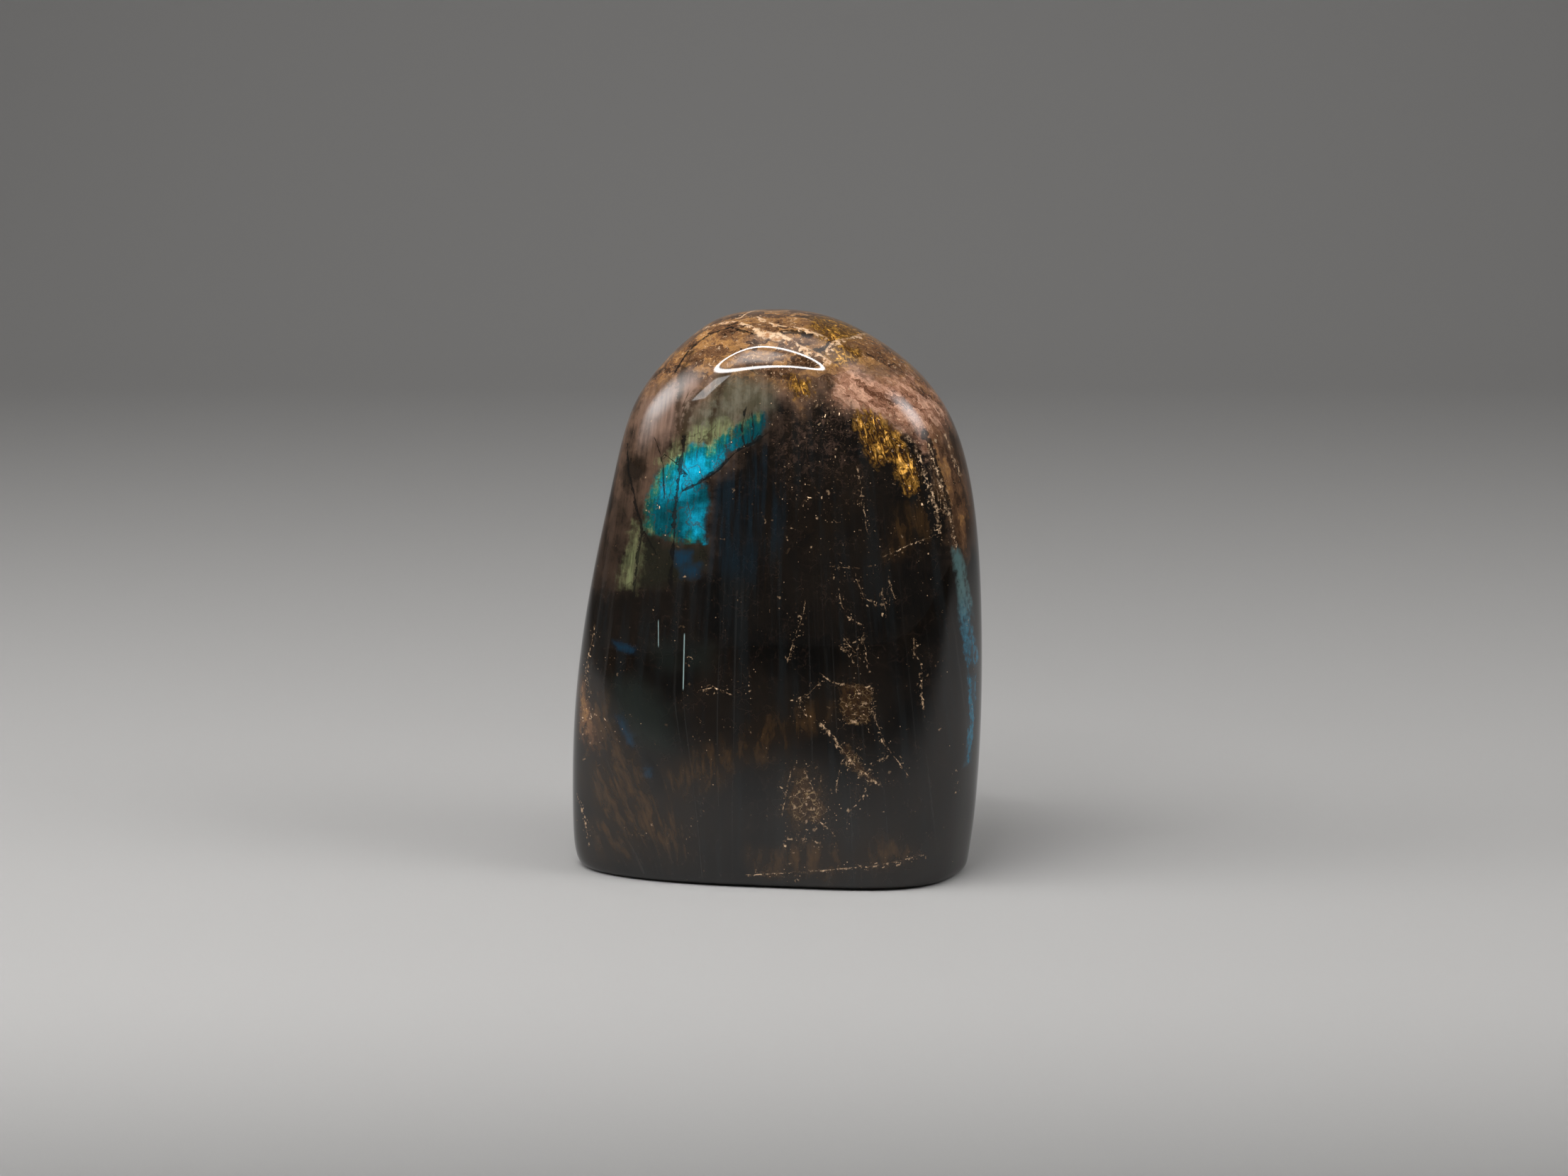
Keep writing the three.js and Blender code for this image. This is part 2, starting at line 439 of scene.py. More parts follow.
# Yellow-gold crystals: on the crown, below it, and the cluster on the right shoulder
GOLD = [
    (CROWN, [
        (6.7, 74.6), (9.5, 76.1), (12, 75.7), (15.1, 74.1), (16.5, 73.9), (13.2, 69.3), (10.2, 67.5),
        (8.1, 68.3), (6.9, 71),
    ]),
    (CROWN, [(9.3, 65.3), (10.8, 66.2), (14.3, 65.9), (14, 64.2), (10.8, 62.8), (9.4, 64)]),
    (FRONT, [(2.5, 89.7), (5.5, 89), (5.5, 87.6), (4.2, 87.3), (3.5, 88.7)]),
    (FRONT, [
        (14.3, 84), (17, 83.6), (19.5, 81.6), (20.4, 79), (20, 76.9), (17.7, 75.9), (16.3, 77.4),
        (15.5, 79.8),
    ]),
    (FRONT, [(20, 80.6), (21.6, 79.6), (24.3, 74.5), (24.4, 71.2), (23, 71), (21.3, 75), (20.4, 78)]),
    (BACK_CROWN, [(-16, 62), (-10, 66), (-6, 64), (-9, 58), (-14, 57)]),
    (RIGHT_SIDE, [(-4, 74), (2, 78), (6, 73), (2, 68)]),
]

# A netted facet and a filled wedge between two cracks, low on the right
FACET = [
    (FRONT, [(11.4, 37.3), (16.2, 37), (16.8, 34.6), (16.2, 30.5), (12.6, 30.1), (11.3, 33)]),
    (FRONT, [(11.3, 26.4), (12.8, 26.4), (14.6, 23.4), (18.2, 19.4), (15.6, 20.4), (12.6, 22.6)]),
    (FRONT, [(3, 19.5), (5, 20.5), (8.5, 15), (7.6, 12.6), (4, 12.8), (2, 15)]),
]

# Faint upright blue bands in the dark beside the flash
DIM_FLASH = [
    (FRONT, [(-11.5, 71), (-6, 77), (-1, 78), (2, 70), (1, 62), (-4, 55), (-12, 56.5)]),
    (BACK, [(-20, 40), (-12, 46), (-2, 52), (8, 58), (6, 44), (-6, 36), (-18, 34)]),
    (LEFT_SIDE, [(-10, 24), (-8, 44), (0, 52), (6, 40), (2, 22)]),
]

# Cream iron-stained patch in the crown's vein
CREAM = [
    (CROWN, [(-4.1, 71.3), (-2.4, 70.2), (-0.3, 69.2), (1.7, 68.1), (0.7, 67.2), (-1.2, 68), (-3.6, 69)]),
]

# Rose-brown, brushed-looking feldspar on the right shoulder, and its broken, speckled lower edge
# The rose's palest tones are partly painted sheen
ROSE = [
    (FRONT, [
        (9.5, 86.8), (10.5, 90.3), (13.2, 91.8), (16.3, 90.6), (23.5, 88.7), (26.5, 86.5), (29.5, 82.5),
        (28.8, 78), (26, 77), (23.4, 80.8), (19.5, 82.7), (13.2, 84.9),
    ]),
    (RIGHT_SIDE, [(-10, 84), (-2, 90), (8, 88), (12, 80), (4, 78), (-6, 79)]),
]
CRACKLE = [
    (FRONT, [
        (0.7, 86.7), (8, 86.5), (14.8, 83.3), (16, 74.8), (14.8, 62.6), (6.8, 60), (0.7, 64.8), (-0.6, 77),
    ]),
    (BACK, [(-30, 60), (-18, 70), (-14, 60), (-18, 44), (-30, 40)]),
    (LEFT_SIDE, [(-12, 66), (0, 74), (10, 66), (8, 50), (-6, 46)]),
]

# Cloudy brown-gold stone behind the ridges of the right shoulder
RIDGES = [
    (RIGHT_EDGE, [(2.6, 79.5), (6, 82), (9.5, 77), (11, 66), (9.8, 58.5), (5.8, 60), (4.7, 66), (3.9, 72)]),
    (LEFT_EDGE, [(-11.5, 34), (-8.3, 31), (-5.4, 25), (-7, 22.5), (-10, 26)]),
    (BACK, [(-31, 50), (-26, 62), (-24, 78), (-28, 74), (-33, 58)]),
]

# Parts thick with painted glints: the right shoulder, its ridges, the arch and the facet low on the right
GLITTER = [
    (FRONT, [
        (1, 87.5), (9, 88), (17, 85), (26, 84), (30, 76), (30.5, 66), (26, 66), (22, 74), (16, 79), (8, 83),
    ]),
    (FRONT, [(1, 21), (6, 23), (11, 14), (9, 8), (3, 8)]),
    (FRONT, [(11, 38), (17, 38), (17, 30), (12, 29)]),
    (FRONT, [(12, 27), (14, 26), (18.5, 19.5), (13, 22)]),
    (LEFT_EDGE, [(-11, 33), (-8.3, 31), (-5.6, 25.3), (-7.2, 23), (-10, 26)]),
    (BACK, [(-18, 34), (-8, 34), (4, 20), (2, 14), (-10, 20), (-18, 28)]),
    (BACK, [(14, 60), (20, 60), (24, 44), (20, 32), (16, 40)]),
    (RIGHT_SIDE, [(-6, 80), (4, 82), (8, 66), (2, 46), (-4, 52)]),
]

# Golden-brown, iron-stained stone: the right edge, low on the left, and above the foot
BROWN = [
    (RIGHT_EDGE, [(4.6, 71.3), (6.8, 70.3), (9.3, 65.2), (9.5, 58.2), (5.6, 60.6), (4.6, 65)]),
    (FRONT, [
        (-33.2, 16.3), (-31.9, 22.7), (-28.2, 19.1), (-24.5, 14.8), (-21.9, 3.9), (-28.4, 3.3),
        (-32.3, 9.8),
    ]),
    (FRONT, [
        (-4.3, 6.4), (4.4, 7.4), (13.1, 8.3), (24.3, 8.7), (24.4, 6.3), (13.1, 4.5), (4.8, 3.4),
        (-4.3, 2.6),
    ]),
    (FRONT, [(22.8, 67.4), (27.4, 69.6), (27.8, 63.5), (24.1, 61.9), (19.9, 60.2)]),
    (FRONT, [(2.4, 20.5), (5.3, 21), (8.1, 14.8), (5.5, 14.3), (3.3, 12.3), (1.2, 14.5)]),
    (BACK, [(20, 60), (27, 66), (30, 52), (32, 36), (26, 40), (22, 50)]),
    (BACK, [(-33, 20), (-24, 26), (-14, 12), (-18, 3), (-32, 4)]),
    (LEFT_SIDE, [(-14, 30), (-6, 36), (2, 20), (-2, 4), (-14, 5)]),
    (RIGHT_SIDE, [(0, 66), (10, 70), (14, 52), (12, 34), (4, 44)]),
    (FRONT, [(-34, 34), (-31, 33), (-24, 20), (-16, 6), (-19, 4), (-27, 12), (-33, 25)]),
    (FRONT, [(-20, 20), (-8, 26), (2, 31), (9, 33), (6, 29), (-6, 22), (-18, 16)]),
]

# Dark cleavage cracks, as (seen from, half width, points)
DARK_CRACKS = [
    (FRONT, 0.5, [(22.6, 79.5), (24.2, 76), (25.6, 72), (26.7, 67.5), (27.6, 63)]),
    (FRONT, 0.55, [(26, 80), (27.6, 76), (29, 71.5), (30.2, 67)]),
    (FRONT, 0.24, [
        (-16.1, 78.7), (-16.5, 76.1), (-16.8, 73.8), (-17.2, 70.9), (-17.6, 68), (-17.8, 64.5), (-18, 60.6),
        (-18.2, 57.9), (-18.4, 53.9),
    ]),
    (FRONT, 0.2, [
        (-26.3, 76.3), (-26, 72.3), (-25.1, 68.9), (-24.4, 65.7), (-23.7, 63.8), (-23.7, 61.6),
        (-24.3, 58.8), (-24.7, 54.7), (-25.1, 51.8),
    ]),
    (FRONT, 0.12, [(-23.7, 63.3), (-22.5, 61.2), (-21.5, 59.5)]),
    (FRONT, 0.17, [
        (-2.2, 80), (-3.9, 78.7), (-5.8, 77.8), (-7.7, 76.7), (-8.8, 75.3), (-10, 73.7), (-12.2, 72.5),
        (-13, 71.8), (-13.8, 71.3), (-16.1, 70.2),
    ]),
    (FRONT, 0.07, [(-21, 78), (-20.4, 76.9), (-19.7, 73.7), (-19.6, 69.4)]),
    (FRONT, 0.07, [(-19.2, 75.9), (-18.3, 75.5), (-17, 74.2), (-16.1, 73.4)]),
    (FRONT, 0.11, [(-5.4, 83.8), (-5.8, 82), (-5.8, 79.8), (-5.4, 78.1)]),
    (FRONT, 0.09, [(-4.1, 83.1), (-3.8, 81.8), (-4.1, 79.3)]),
    (CROWN, 0.19, [(-17.4, 65.7), (-15, 70), (-11.9, 72), (-8.1, 72.4), (-3.1, 68.9)]),
    (CROWN, 0.28, [(6.8, 65.2), (8.3, 65.4), (9.2, 66.6)]),
    (CROWN, 0.5, [(1.6, 69.4), (3.4, 69.6), (5.6, 69)]),
    (BACK, 0.16, [(3, 78), (2, 70), (3, 62), (2, 54), (4, 46), (4, 36)]),
    (BACK, 0.13, [(-8, 74), (-9, 66), (-8, 57), (-10, 48), (-9, 38), (-11, 26)]),
    (BACK, 0.1, [(12, 70), (11, 62), (13, 52), (12, 44)]),
    (LEFT_SIDE, 0.14, [(-4, 80), (-5, 68), (-3, 54), (-4, 40), (-2, 24)]),
    (RIGHT_SIDE, 0.14, [(4, 84), (6, 70), (5, 54), (7, 40), (6, 22)]),
]

# Soft brown streaks that come down from the crown over the grey-green feldspar
STREAKS = [
    (FRONT, 0.55, [(-13.8, 86.2), (-15.5, 84), (-16.1, 80.5), (-16.3, 78.3)]),
    (CROWN, 0.4, [(-15.3, 67.5), (-16.4, 65.2), (-17, 60.3), (-17.2, 55.8), (-16.7, 53.2)]),
    (CROWN, 0.35, [(-8.9, 61.7), (-9.4, 60.6), (-10.5, 56.3), (-11.3, 54.4), (-11.6, 52.5)]),
    (BACK_CROWN, 0.4, [(-2, 62), (-1, 56), (-2, 50), (0, 44)]),
    (BACK_CROWN, 0.45, [(6, 60), (7, 54), (6, 48)]),
]

# Golden and white cracks with painted glints
GOLD_CRACKS = [
    (FRONT, 0.42, [
        (23.3, 79.6), (24.8, 77.2), (25.5, 74.6), (26.4, 72.1), (27.2, 69.6), (28.2, 66.8), (28.4, 64.1),
    ]),
    (RIGHT_EDGE, 0.4, [(2.7, 77.5), (3.2, 73.9), (3.7, 70.2), (4.4, 66.8), (5.1, 64.7), (5.3, 61.1)]),
    (RIGHT_EDGE, 0.4, [(8, 78.9), (8.4, 75.9), (9.9, 73.1)]),
    (FRONT, 0.08, [(19.6, 59.9), (24.1, 61.9), (27.8, 62.9)]),
    (FRONT, 0.12, [(12.8, 32.7), (16.4, 33.9)]),
    (FRONT, 0.16, [(12.8, 30.4), (16.2, 31.6)]),
    (FRONT, 0.12, [(8.6, 38.4), (10.9, 37), (11.7, 37), (16, 36.7)]),
    (FRONT, 0.1, [(14, 43.2), (14.9, 45.2), (15.6, 43.9), (15.8, 41)]),
    (FRONT, 0.12, [(11.7, 43.3), (13.6, 41)]),
    (FRONT, 0.08, [(12.1, 44.9), (13.9, 42.6)]),
    (FRONT, 0.11, [(17, 32.3), (17.9, 29.3), (19.5, 26), (19.7, 25.3), (20.7, 24.5), (22.6, 21.7)]),
    (FRONT, 0.2, [(17.1, 23.4), (18.4, 24)]),
    (FRONT, 0.26, [
        (7.4, 30.2), (8.5, 29.4), (10.1, 27.8), (11.7, 25.2), (13.2, 23.4), (14.9, 21.8), (17.7, 19.6),
    ]),
    (FRONT, 0.08, [(11.7, 23.7), (10.8, 20.8), (10.5, 18.1)]),
    (FRONT, 0.08, [(12.5, 12.6), (12.6, 14.5), (14.6, 16.4), (16, 19)]),
    (FRONT, 0.1, [(2.4, 20.5), (1.2, 14.5)]),
    (FRONT, 0.11, [(5.3, 21), (8.1, 14.8)]),
    (FRONT, 0.11, [(5.5, 13.8), (7.7, 12.9), (9.7, 10.9)]),
    (FRONT, 0.1, [(5.1, 10.2), (4.6, 8.3)]),
    (FRONT, 0.12, [(24, 44.3), (23.6, 43.2), (25.1, 41.2), (25.6, 38.7), (25.3, 36.1), (25.7, 33.7)]),
    (FRONT, 0.08, [(14, 55.8), (15.2, 52.6), (16.7, 51.5)]),
    (FRONT, 0.08, [(11.1, 52.9), (11.6, 50), (13.5, 47.9), (14.5, 47.9)]),
    (FRONT, 0.08, [(19.8, 55.2), (20.5, 52.7)]),
    (FRONT, 0.08, [(18.6, 53), (19, 50.1)]),
    (FRONT, 0.07, [(5, 50.6), (4.6, 48.8), (3.4, 45.8), (2.3, 41.8)]),
    (FRONT, 0.11, [(-4.3, 2.6), (4.8, 3.4), (13.2, 4.5), (16.8, 4.8), (21.2, 5.6), (24.6, 6.3)]),
    (FRONT, 0.1, [(3.5, 34.4), (6.1, 35.3), (7, 36.6)]),
    (FRONT, 0.08, [(4.4, 32.8), (5.5, 31.3)]),
    (FRONT, 0.08, [(-12.9, 35.4), (-11.8, 36.2), (-10.2, 35.8), (-8.8, 35.2)]),
    (FRONT, 0.07, [(14.3, 74.3), (15.8, 64.4)]),
    (FRONT, 0.11, [(10.2, 57.6), (11.3, 58), (12.4, 57.5)]),
    (LEFT_EDGE, 0.12, [(-9.2, 44), (-9.7, 40.7), (-10.6, 36.7), (-8.7, 33.6)]),
    (LEFT_EDGE, 0.18, [(-11.1, 13.4), (-8.7, 10.6), (-7.8, 6.2)]),
    (BACK, 0.15, [(-16, 34), (-11, 31), (-8, 26), (-3, 24), (1, 18)]),
    (BACK, 0.12, [(-8, 26), (-9, 20), (-6, 14)]),
    (BACK, 0.14, [(16, 58), (19, 50), (18, 42), (21, 34)]),
    (BACK, 0.11, [(18, 42), (22, 44), (25, 50)]),
    (BACK, 0.11, [(6, 30), (9, 25), (8, 18), (12, 12)]),
    (LEFT_SIDE, 0.15, [(-2, 30), (2, 26), (1, 20), (5, 14)]),
    (LEFT_SIDE, 0.12, [(6, 62), (8, 54), (6, 46)]),
    (RIGHT_SIDE, 0.15, [(-2, 66), (1, 58), (-1, 50), (2, 42)]),
    (RIGHT_SIDE, 0.12, [(6, 34), (9, 28), (8, 20), (11, 14)]),
]

# Cream veins over the crown
CREAM_VEINS = [
    (CROWN, 0.3, [(-14, 75.8), (-10.2, 74.7), (-7.5, 74.4), (-4.7, 71.8), (-3.4, 70.4)]),
    (CROWN, 0.45, [(0.9, 68.6), (2.3, 67.6), (3.3, 66.3), (6.6, 64.6), (8.6, 63.2)]),
    (CROWN, 0.3, [(-3.5, 75), (-0.1, 71.2), (4.9, 70.4), (8, 68.7)]),
    (CROWN, 0.35, [(9.2, 65.6), (10.2, 67.5), (13.2, 69.3), (16.5, 73.9)]),
    (BACK_CROWN, 0.35, [(-20, 60), (-12, 56), (-4, 58), (4, 64), (12, 62), (20, 54)]),
    (BACK_CROWN, 0.28, [(-4, 58), (-6, 50), (-12, 44)]),
    (BACK_CROWN, 0.25, [(4, 64), (2, 71), (6, 76)]),
]

# The flash's upper, outer and lower rim, from its tip round to the crack's foot
RIM = [
    (FRONT, 0.3, [
        (-1.2, 85), (-5.8, 82.9), (-7.2, 81.2), (-9.5, 80.3), (-12.2, 78.2), (-16.7, 77.5), (-19.5, 74.5),
        (-21.5, 70.6), (-23.2, 67.4), (-23.4, 63.1), (-22.5, 62.3), (-19.7, 61.6), (-18.1, 60.9),
        (-14.5, 60.6),
    ]),
    (BACK, 0.3, [(-16, 49), (-12, 56.5), (-6, 60.5), (-1, 66.5), (6, 70.5), (12, 69)]),
]

# Two hair-thin upright glints on the left, painted in pale blue-white
HAIR_GLINTS = [
    (FRONT, 0.06, [(-20.7, 46.1), (-20.7, 43.7)]),
    (FRONT, 0.09, [(-16.1, 44), (-16.3, 36.4)]),
]


PATCHES = {
    "flash": FLASH, "lime": LIME, "side_flash": SIDE_FLASH, "deep_flash": DEEP_FLASH, "sage": SAGE,
    "olive": OLIVE, "deep_sage": DEEP_SAGE, "facet": FACET, "painted_sheen": PAINTED_SHEEN_PATCHES,
    "gold": GOLD, "cream": CREAM, "rose": ROSE, "crackle": CRACKLE, "brown": BROWN,
    "dim_flash": DIM_FLASH, "flash_core": FLASH_CORE, "glitter": GLITTER, "ridges": RIDGES,
}
LINES = {
    "dark_crack": DARK_CRACKS, "streak": STREAKS, "gold_crack": GOLD_CRACKS,
    "cream_vein": CREAM_VEINS, "hair": HAIR_GLINTS, "rim": RIM,
}


def seen_from(place):
    """The axes of a view: across, up, and out of the stone towards the viewer."""
    turn, rise = np.radians(place)
    across = np.array([np.cos(turn), np.sin(turn), 0])
    up = np.array([-np.sin(turn) * np.sin(rise), np.cos(turn) * np.sin(rise), np.cos(rise)])
    out = np.array([np.sin(turn) * np.cos(rise), -np.cos(turn) * np.cos(rise), np.sin(rise)])
    return across, up, out


def outline_reach(points, place, outline):
    """How far each point lies inside a closed outline, in its view's plane; outside it is negative.

    The distance is to the nearest edge, and a point is inside where a level ray crosses the outline an
    odd number of times.
    """
    across, up, _ = seen_from(place)
    x, z = points @ across, points @ up
    corners = np.array(outline, float)
    nearest = np.full(len(points), np.inf)
    inside = np.zeros(len(points), bool)
    for (ax, az), (bx, bz) in zip(corners, np.roll(corners, -1, 0)):
        ex, ez = bx - ax, bz - az
        share = np.clip(((x - ax) * ex + (z - az) * ez) / (ex * ex + ez * ez), 0, 1)
        nearest = np.minimum(nearest, np.hypot(x - ax - share * ex, z - az - share * ez))
        if az != bz:
            inside ^= ((z < az) != (z < bz)) & (x < ax + (z - az) * ex / ez)
    return np.where(inside, nearest, -nearest)


def patch_reach(points, normals, patches):
    """The deepest reach into any of the patches, which lie only on the side that faces their view."""
    reach = np.full(len(points), -FAR_OUTSIDE)
    for place, outline in patches:
        facing = normals @ seen_from(place)[2]
        inside = np.where(facing > 0, outline_reach(points, place, outline), -FAR_OUTSIDE)
        reach = np.maximum(reach, inside)
    return np.maximum(reach, -FAR_OUTSIDE)


def laid_on_stone(tree, place, line):
    """A line's points every LINE_STEP, dropped on to the stone along its view."""
    across, up, out = seen_from(place)
    corners = np.array(line, float)
    length = np.concatenate([[0], np.cumsum(np.linalg.norm(np.diff(corners, axis=0), axis=1))])
    at = np.linspace(0, length[-1], max(2, round(length[-1] / LINE_STEP) + 1))
    flat = np.stack([np.interp(at, length, corners[:, 0]), np.interp(at, length, corners[:, 1])], 1)
    laid = []
    for a, b in flat:
        start = (a * across + b * up + DROP_FROM * out) * MM
        hit = tree.ray_cast(Vector(start), Vector(-out))[0]
        if hit is not None:
            laid.append(np.array(hit) / MM)
    return np.array(laid)


def line_fields(points, normals, tree, lines):
    """For the nearest line: the signed offset beside it, the plain distance to it, and its half width.

    The offset is measured square to the line's piece in the stone's skin, and its sign says which side
    the point is on, so it passes evenly through zero between two points of the mesh.
    """
    offset = np.full(len(points), FAR_OUTSIDE)
    near = np.full(len(points), FAR_OUTSIDE)
    width = np.zeros(len(points))
    for place, half_width, line in lines:
        laid = laid_on_stone(tree, place, line)
        for start, end in zip(laid[:-1], laid[1:]):
            edge = end - start
            away = points - start
            share = np.clip(away @ edge / (edge @ edge), 0, 1)
            distance = np.linalg.norm(away - share[:, None] * edge, axis=1)
            beside = np.einsum("ij,ij->i", np.cross(edge / np.linalg.norm(edge), away), normals)
            closer = distance < near
            near[closer], width[closer] = distance[closer], half_width
            offset[closer] = beside[closer]
    return offset, near, width


def grain_place(points):
    """Place within the twin lamellae: across them, into the stone, and along them.

    Across is x / (1 + FAN * (FAN_HEIGHT - z)), less the lean of the low left part. With d for how far
    a point is below LOW_LEAN_HEIGHT, that lean is LOW_LEAN * d^2 / (d + LOW_LEAN_EASE), and it grows
    in from LEAN_STARTS_LEFT to LEAN_FULL_LEFT on the left.
    """
    x, y, z = points.T
    below = np.clip(LOW_LEAN_HEIGHT - z, 0, None)
    share = smooth(-x, LEAN_STARTS_LEFT, LEAN_FULL_LEFT)
    lean = LOW_LEAN * below ** 2 / (below + LOW_LEAN_EASE) * share
    return np.stack([x / (1 + FAN * (FAN_HEIGHT - z)) - lean, y, z], 1)


def mark_stone(stone):
    """Writes every patch's reach and every line family's fields to the mesh, one value for each point."""
    mesh = stone.data
    count = len(mesh.vertices)
    points, normals = np.empty(count * 3), np.empty(count * 3)
    mesh.vertices.foreach_get("co", points)
    mesh.vertex_normals.foreach_get("vector", normals)
    points, normals = points.reshape(-1, 3) / MM, normals.reshape(-1, 3)
    tree = BVHTree.FromPolygons([v.co for v in mesh.vertices], [list(p.vertices) for p in mesh.polygons])

    def write(name, values):
        """One number for each point."""
        layer = mesh.attributes.new(name, "FLOAT", "POINT")
        layer.data.foreach_set("value", values.astype(np.float32))

    grain = mesh.attributes.new("grain", "FLOAT_VECTOR", "POINT")
    grain.data.foreach_set("vector", grain_place(points).astype(np.float32).ravel())
    write("daylight", np.clip(outline_reach(points, FRONT, DAYLIGHT), -FAR_OUTSIDE, FAR_OUTSIDE))
    for name, patches in PATCHES.items():
        write(name, patch_reach(points, normals, patches))
    for name, lines in LINES.items():
        offset, near, width = line_fields(points, normals, tree, lines)
        write(name + "_offset", offset)
        write(name + "_near", near)
        write(name + "_width", width)


def blank_material(name):
    """A new material with no nodes."""
    material = bpy.data.materials.new(name)
    material.use_nodes = True
    material.node_tree.nodes.clear()
    return material


class Paint:
    """Adds shader nodes to one tree. Each call returns the socket that holds its result."""

    def __init__(self, tree):
        self.tree = tree

    def node(self, kind, inputs, **settings):
        """A node of a kind, with its settings, and its inputs linked or set by their name or place."""
        node = self.tree.nodes.new(kind)
        for name, value in settings.items():
            setattr(node, name, value)
        for slot, value in inputs.items():
            self.feed(node.inputs[slot], value)
        return node

    def feed(self, socket, value):
        """Links a socket to another, or sets its own value."""
        if isinstance(value, bpy.types.NodeSocket):
            self.tree.links.new(value, socket)
        else:
            socket.default_value = value

    def field(self, name):
        """One value for each point of the mesh, by its name."""
        return self.node("ShaderNodeAttribute", {}, attribute_name=name).outputs["Fac"]

    def math(self, operation, *values):
        """One number worked out from others."""
        return self.node("ShaderNodeMath", dict(enumerate(values)), operation=operation).outputs[0]

    def vector(self, operation, *values):
        """One vector worked out from others."""
        node = self.node("ShaderNodeVectorMath", dict(enumerate(values)), operation=operation)
        return node.outputs["Vector"]

    def add(self, a, b):
        """a plus b."""
        return self.math("ADD", a, b)

    def less(self, a, b):
        """a less b."""
        return self.math("SUBTRACT", a, b)

    def times(self, a, b):
        """a times b."""
        return self.math("MULTIPLY", a, b)

    def most(self, a, b):
        """The greater of a and b."""
        return self.math("MAXIMUM", a, b)

    def ramp(self, value, low, high, start=0.0, end=1.0):
        """From start at low to end at high, levelling out at both; low may lie above high."""
        inputs = {"Value": value, "From Min": low, "From Max": high, "To Min": start, "To Max": end}
        return self.node("ShaderNodeMapRange", inputs, interpolation_type="SMOOTHSTEP").outputs["Result"]

    def mix(self, share, a, b):
        """Colour a turning into colour b."""
        node = self.node("ShaderNodeMix", {"Factor": share}, data_type="RGBA")
        for socket, value in zip([s for s in node.inputs if s.type == "RGBA"], (a, b)):
            self.feed(socket, value)
        return next(s for s in node.outputs if s.type == "RGBA")

    def scaled(self, vector, factor):
        """A colour or vector times a plain factor."""
        node = self.node("ShaderNodeVectorMath", {0: vector, "Scale": factor}, operation="SCALE")
        return node.outputs["Vector"]

    def stretched(self, place, factors):
        """A place with each of its three axes times its own factor."""
        return self.vector("MULTIPLY", place, factors)

    def drawn_out(self, place, factors, detail, rough, warp=0.0):
        """Noise with its own number of steps per millimetre along each axis."""
        return self.noise(self.stretched(place, factors), 1.0, detail, rough, warp)

    def shards(self, place, scale):
        """A random number for each cell."""
        return self.parts(self.cells(place, scale)[1])[0]

    def turned(self, place, angle):
        """A place turned about the axis that runs into the stone."""
        inputs = {"Vector": place, "Angle": angle}
        return self.node("ShaderNodeVectorRotate", inputs, rotation_type="Y_AXIS").outputs["Vector"]

    def noise(self, place, scale, detail=2.0, rough=0.5, warp=0.0):
        """Smooth noise about 0.5, with a number of finer layers and a share of each over the last."""
        inputs = {"Vector": place, "Scale": scale, "Detail": detail, "Roughness": rough, "Distortion": warp}
        return self.node("ShaderNodeTexNoise", inputs).outputs["Fac"]

    def cells(self, place, scale):
        """Distance to the nearest cell's own point, and that cell's random colour."""
        node = self.node("ShaderNodeTexVoronoi", {"Vector": place, "Scale": scale})
        return node.outputs["Distance"], node.outputs["Color"]

    def seams(self, place, scale, width):
        """The lines between neighbouring cells."""
        inputs = {"Vector": place, "Scale": scale}
        node = self.node("ShaderNodeTexVoronoi", inputs, feature="DISTANCE_TO_EDGE")
        return self.ramp(node.outputs["Distance"], width, width * 0.3)

    def parts(self, colour):
        """The three channels of a colour."""
        return self.node("ShaderNodeSeparateColor", {0: colour}).outputs[:3]


class StonePaint(Paint):
    """Paint with the sockets that most parts of the stone share, all in millimetres."""

    def __init__(self, tree):
        super().__init__(tree)
        metres = self.node("ShaderNodeTexCoord", {}).outputs["Object"]
        self.place = self.scaled(metres, 1 / MM)
        self.height = self.node("ShaderNodeSeparateXYZ", {0: self.place}).outputs["Z"]
        self.grain = self.node("ShaderNodeAttribute", {}, attribute_name="grain").outputs["Vector"]
        inputs = {"Vector": self.place, "Scale": TEAR_SCALE, "Detail": 3.0}
        tear = self.node("ShaderNodeTexNoise", inputs).outputs["Color"]
        tear = self.scaled(self.vector("SUBTRACT", tear, (0.5, 0.5, 0.5)), TEAR_REACH)
        self.torn = self.vector("ADD", self.place, tear)
        self.torn_grain = self.vector("ADD", self.grain, tear)
        self.broad = self.add(self.noise(self.place, 0.12, 3.0, 0.55), -0.5)
        self.ragged = self.add(self.noise(self.place, 0.8, 4.0, 0.62), -0.5)
        self.sheets = self.drawn_out(self.grain, SHEET_STRETCH, 4.0, 0.6)
        self.fibres = self.drawn_out(self.grain, FIBRE_STRETCH, 3.0, 0.6)

    def patch(self, name, soft, sway=3.0, ragged=2.0):
        """How much of a patch shows: its reach, moved by two noises, over a soft edge."""
        wander = self.add(self.times(self.broad, sway), self.times(self.ragged, ragged))
        return self.ramp(self.add(self.field(name), wander), -soft, soft)

    def line(self, name, swing, stray=0.6, soft=0.07):
        """A line family's mask: a wandering line, thinner and thicker, that ends where its lines end."""
        width = self.times(self.field(name + "_width"), swing)
        offset = self.add(self.field(name + "_offset"), self.times(self.ragged, stray))
        thin = self.ramp(self.less(self.math("ABSOLUTE", offset), width), soft, -soft)
        return self.times(thin, self.ramp(self.field(name + "_near"), 1.3 + soft, 0.7 + soft))

    def swing(self):
        """How a line grows thinner and thicker along its way, from 0 to 2."""
        return self.ramp(self.noise(self.place, 0.8, 3.0, 0.6), 0.34, 0.68, 0.0, 2.0)


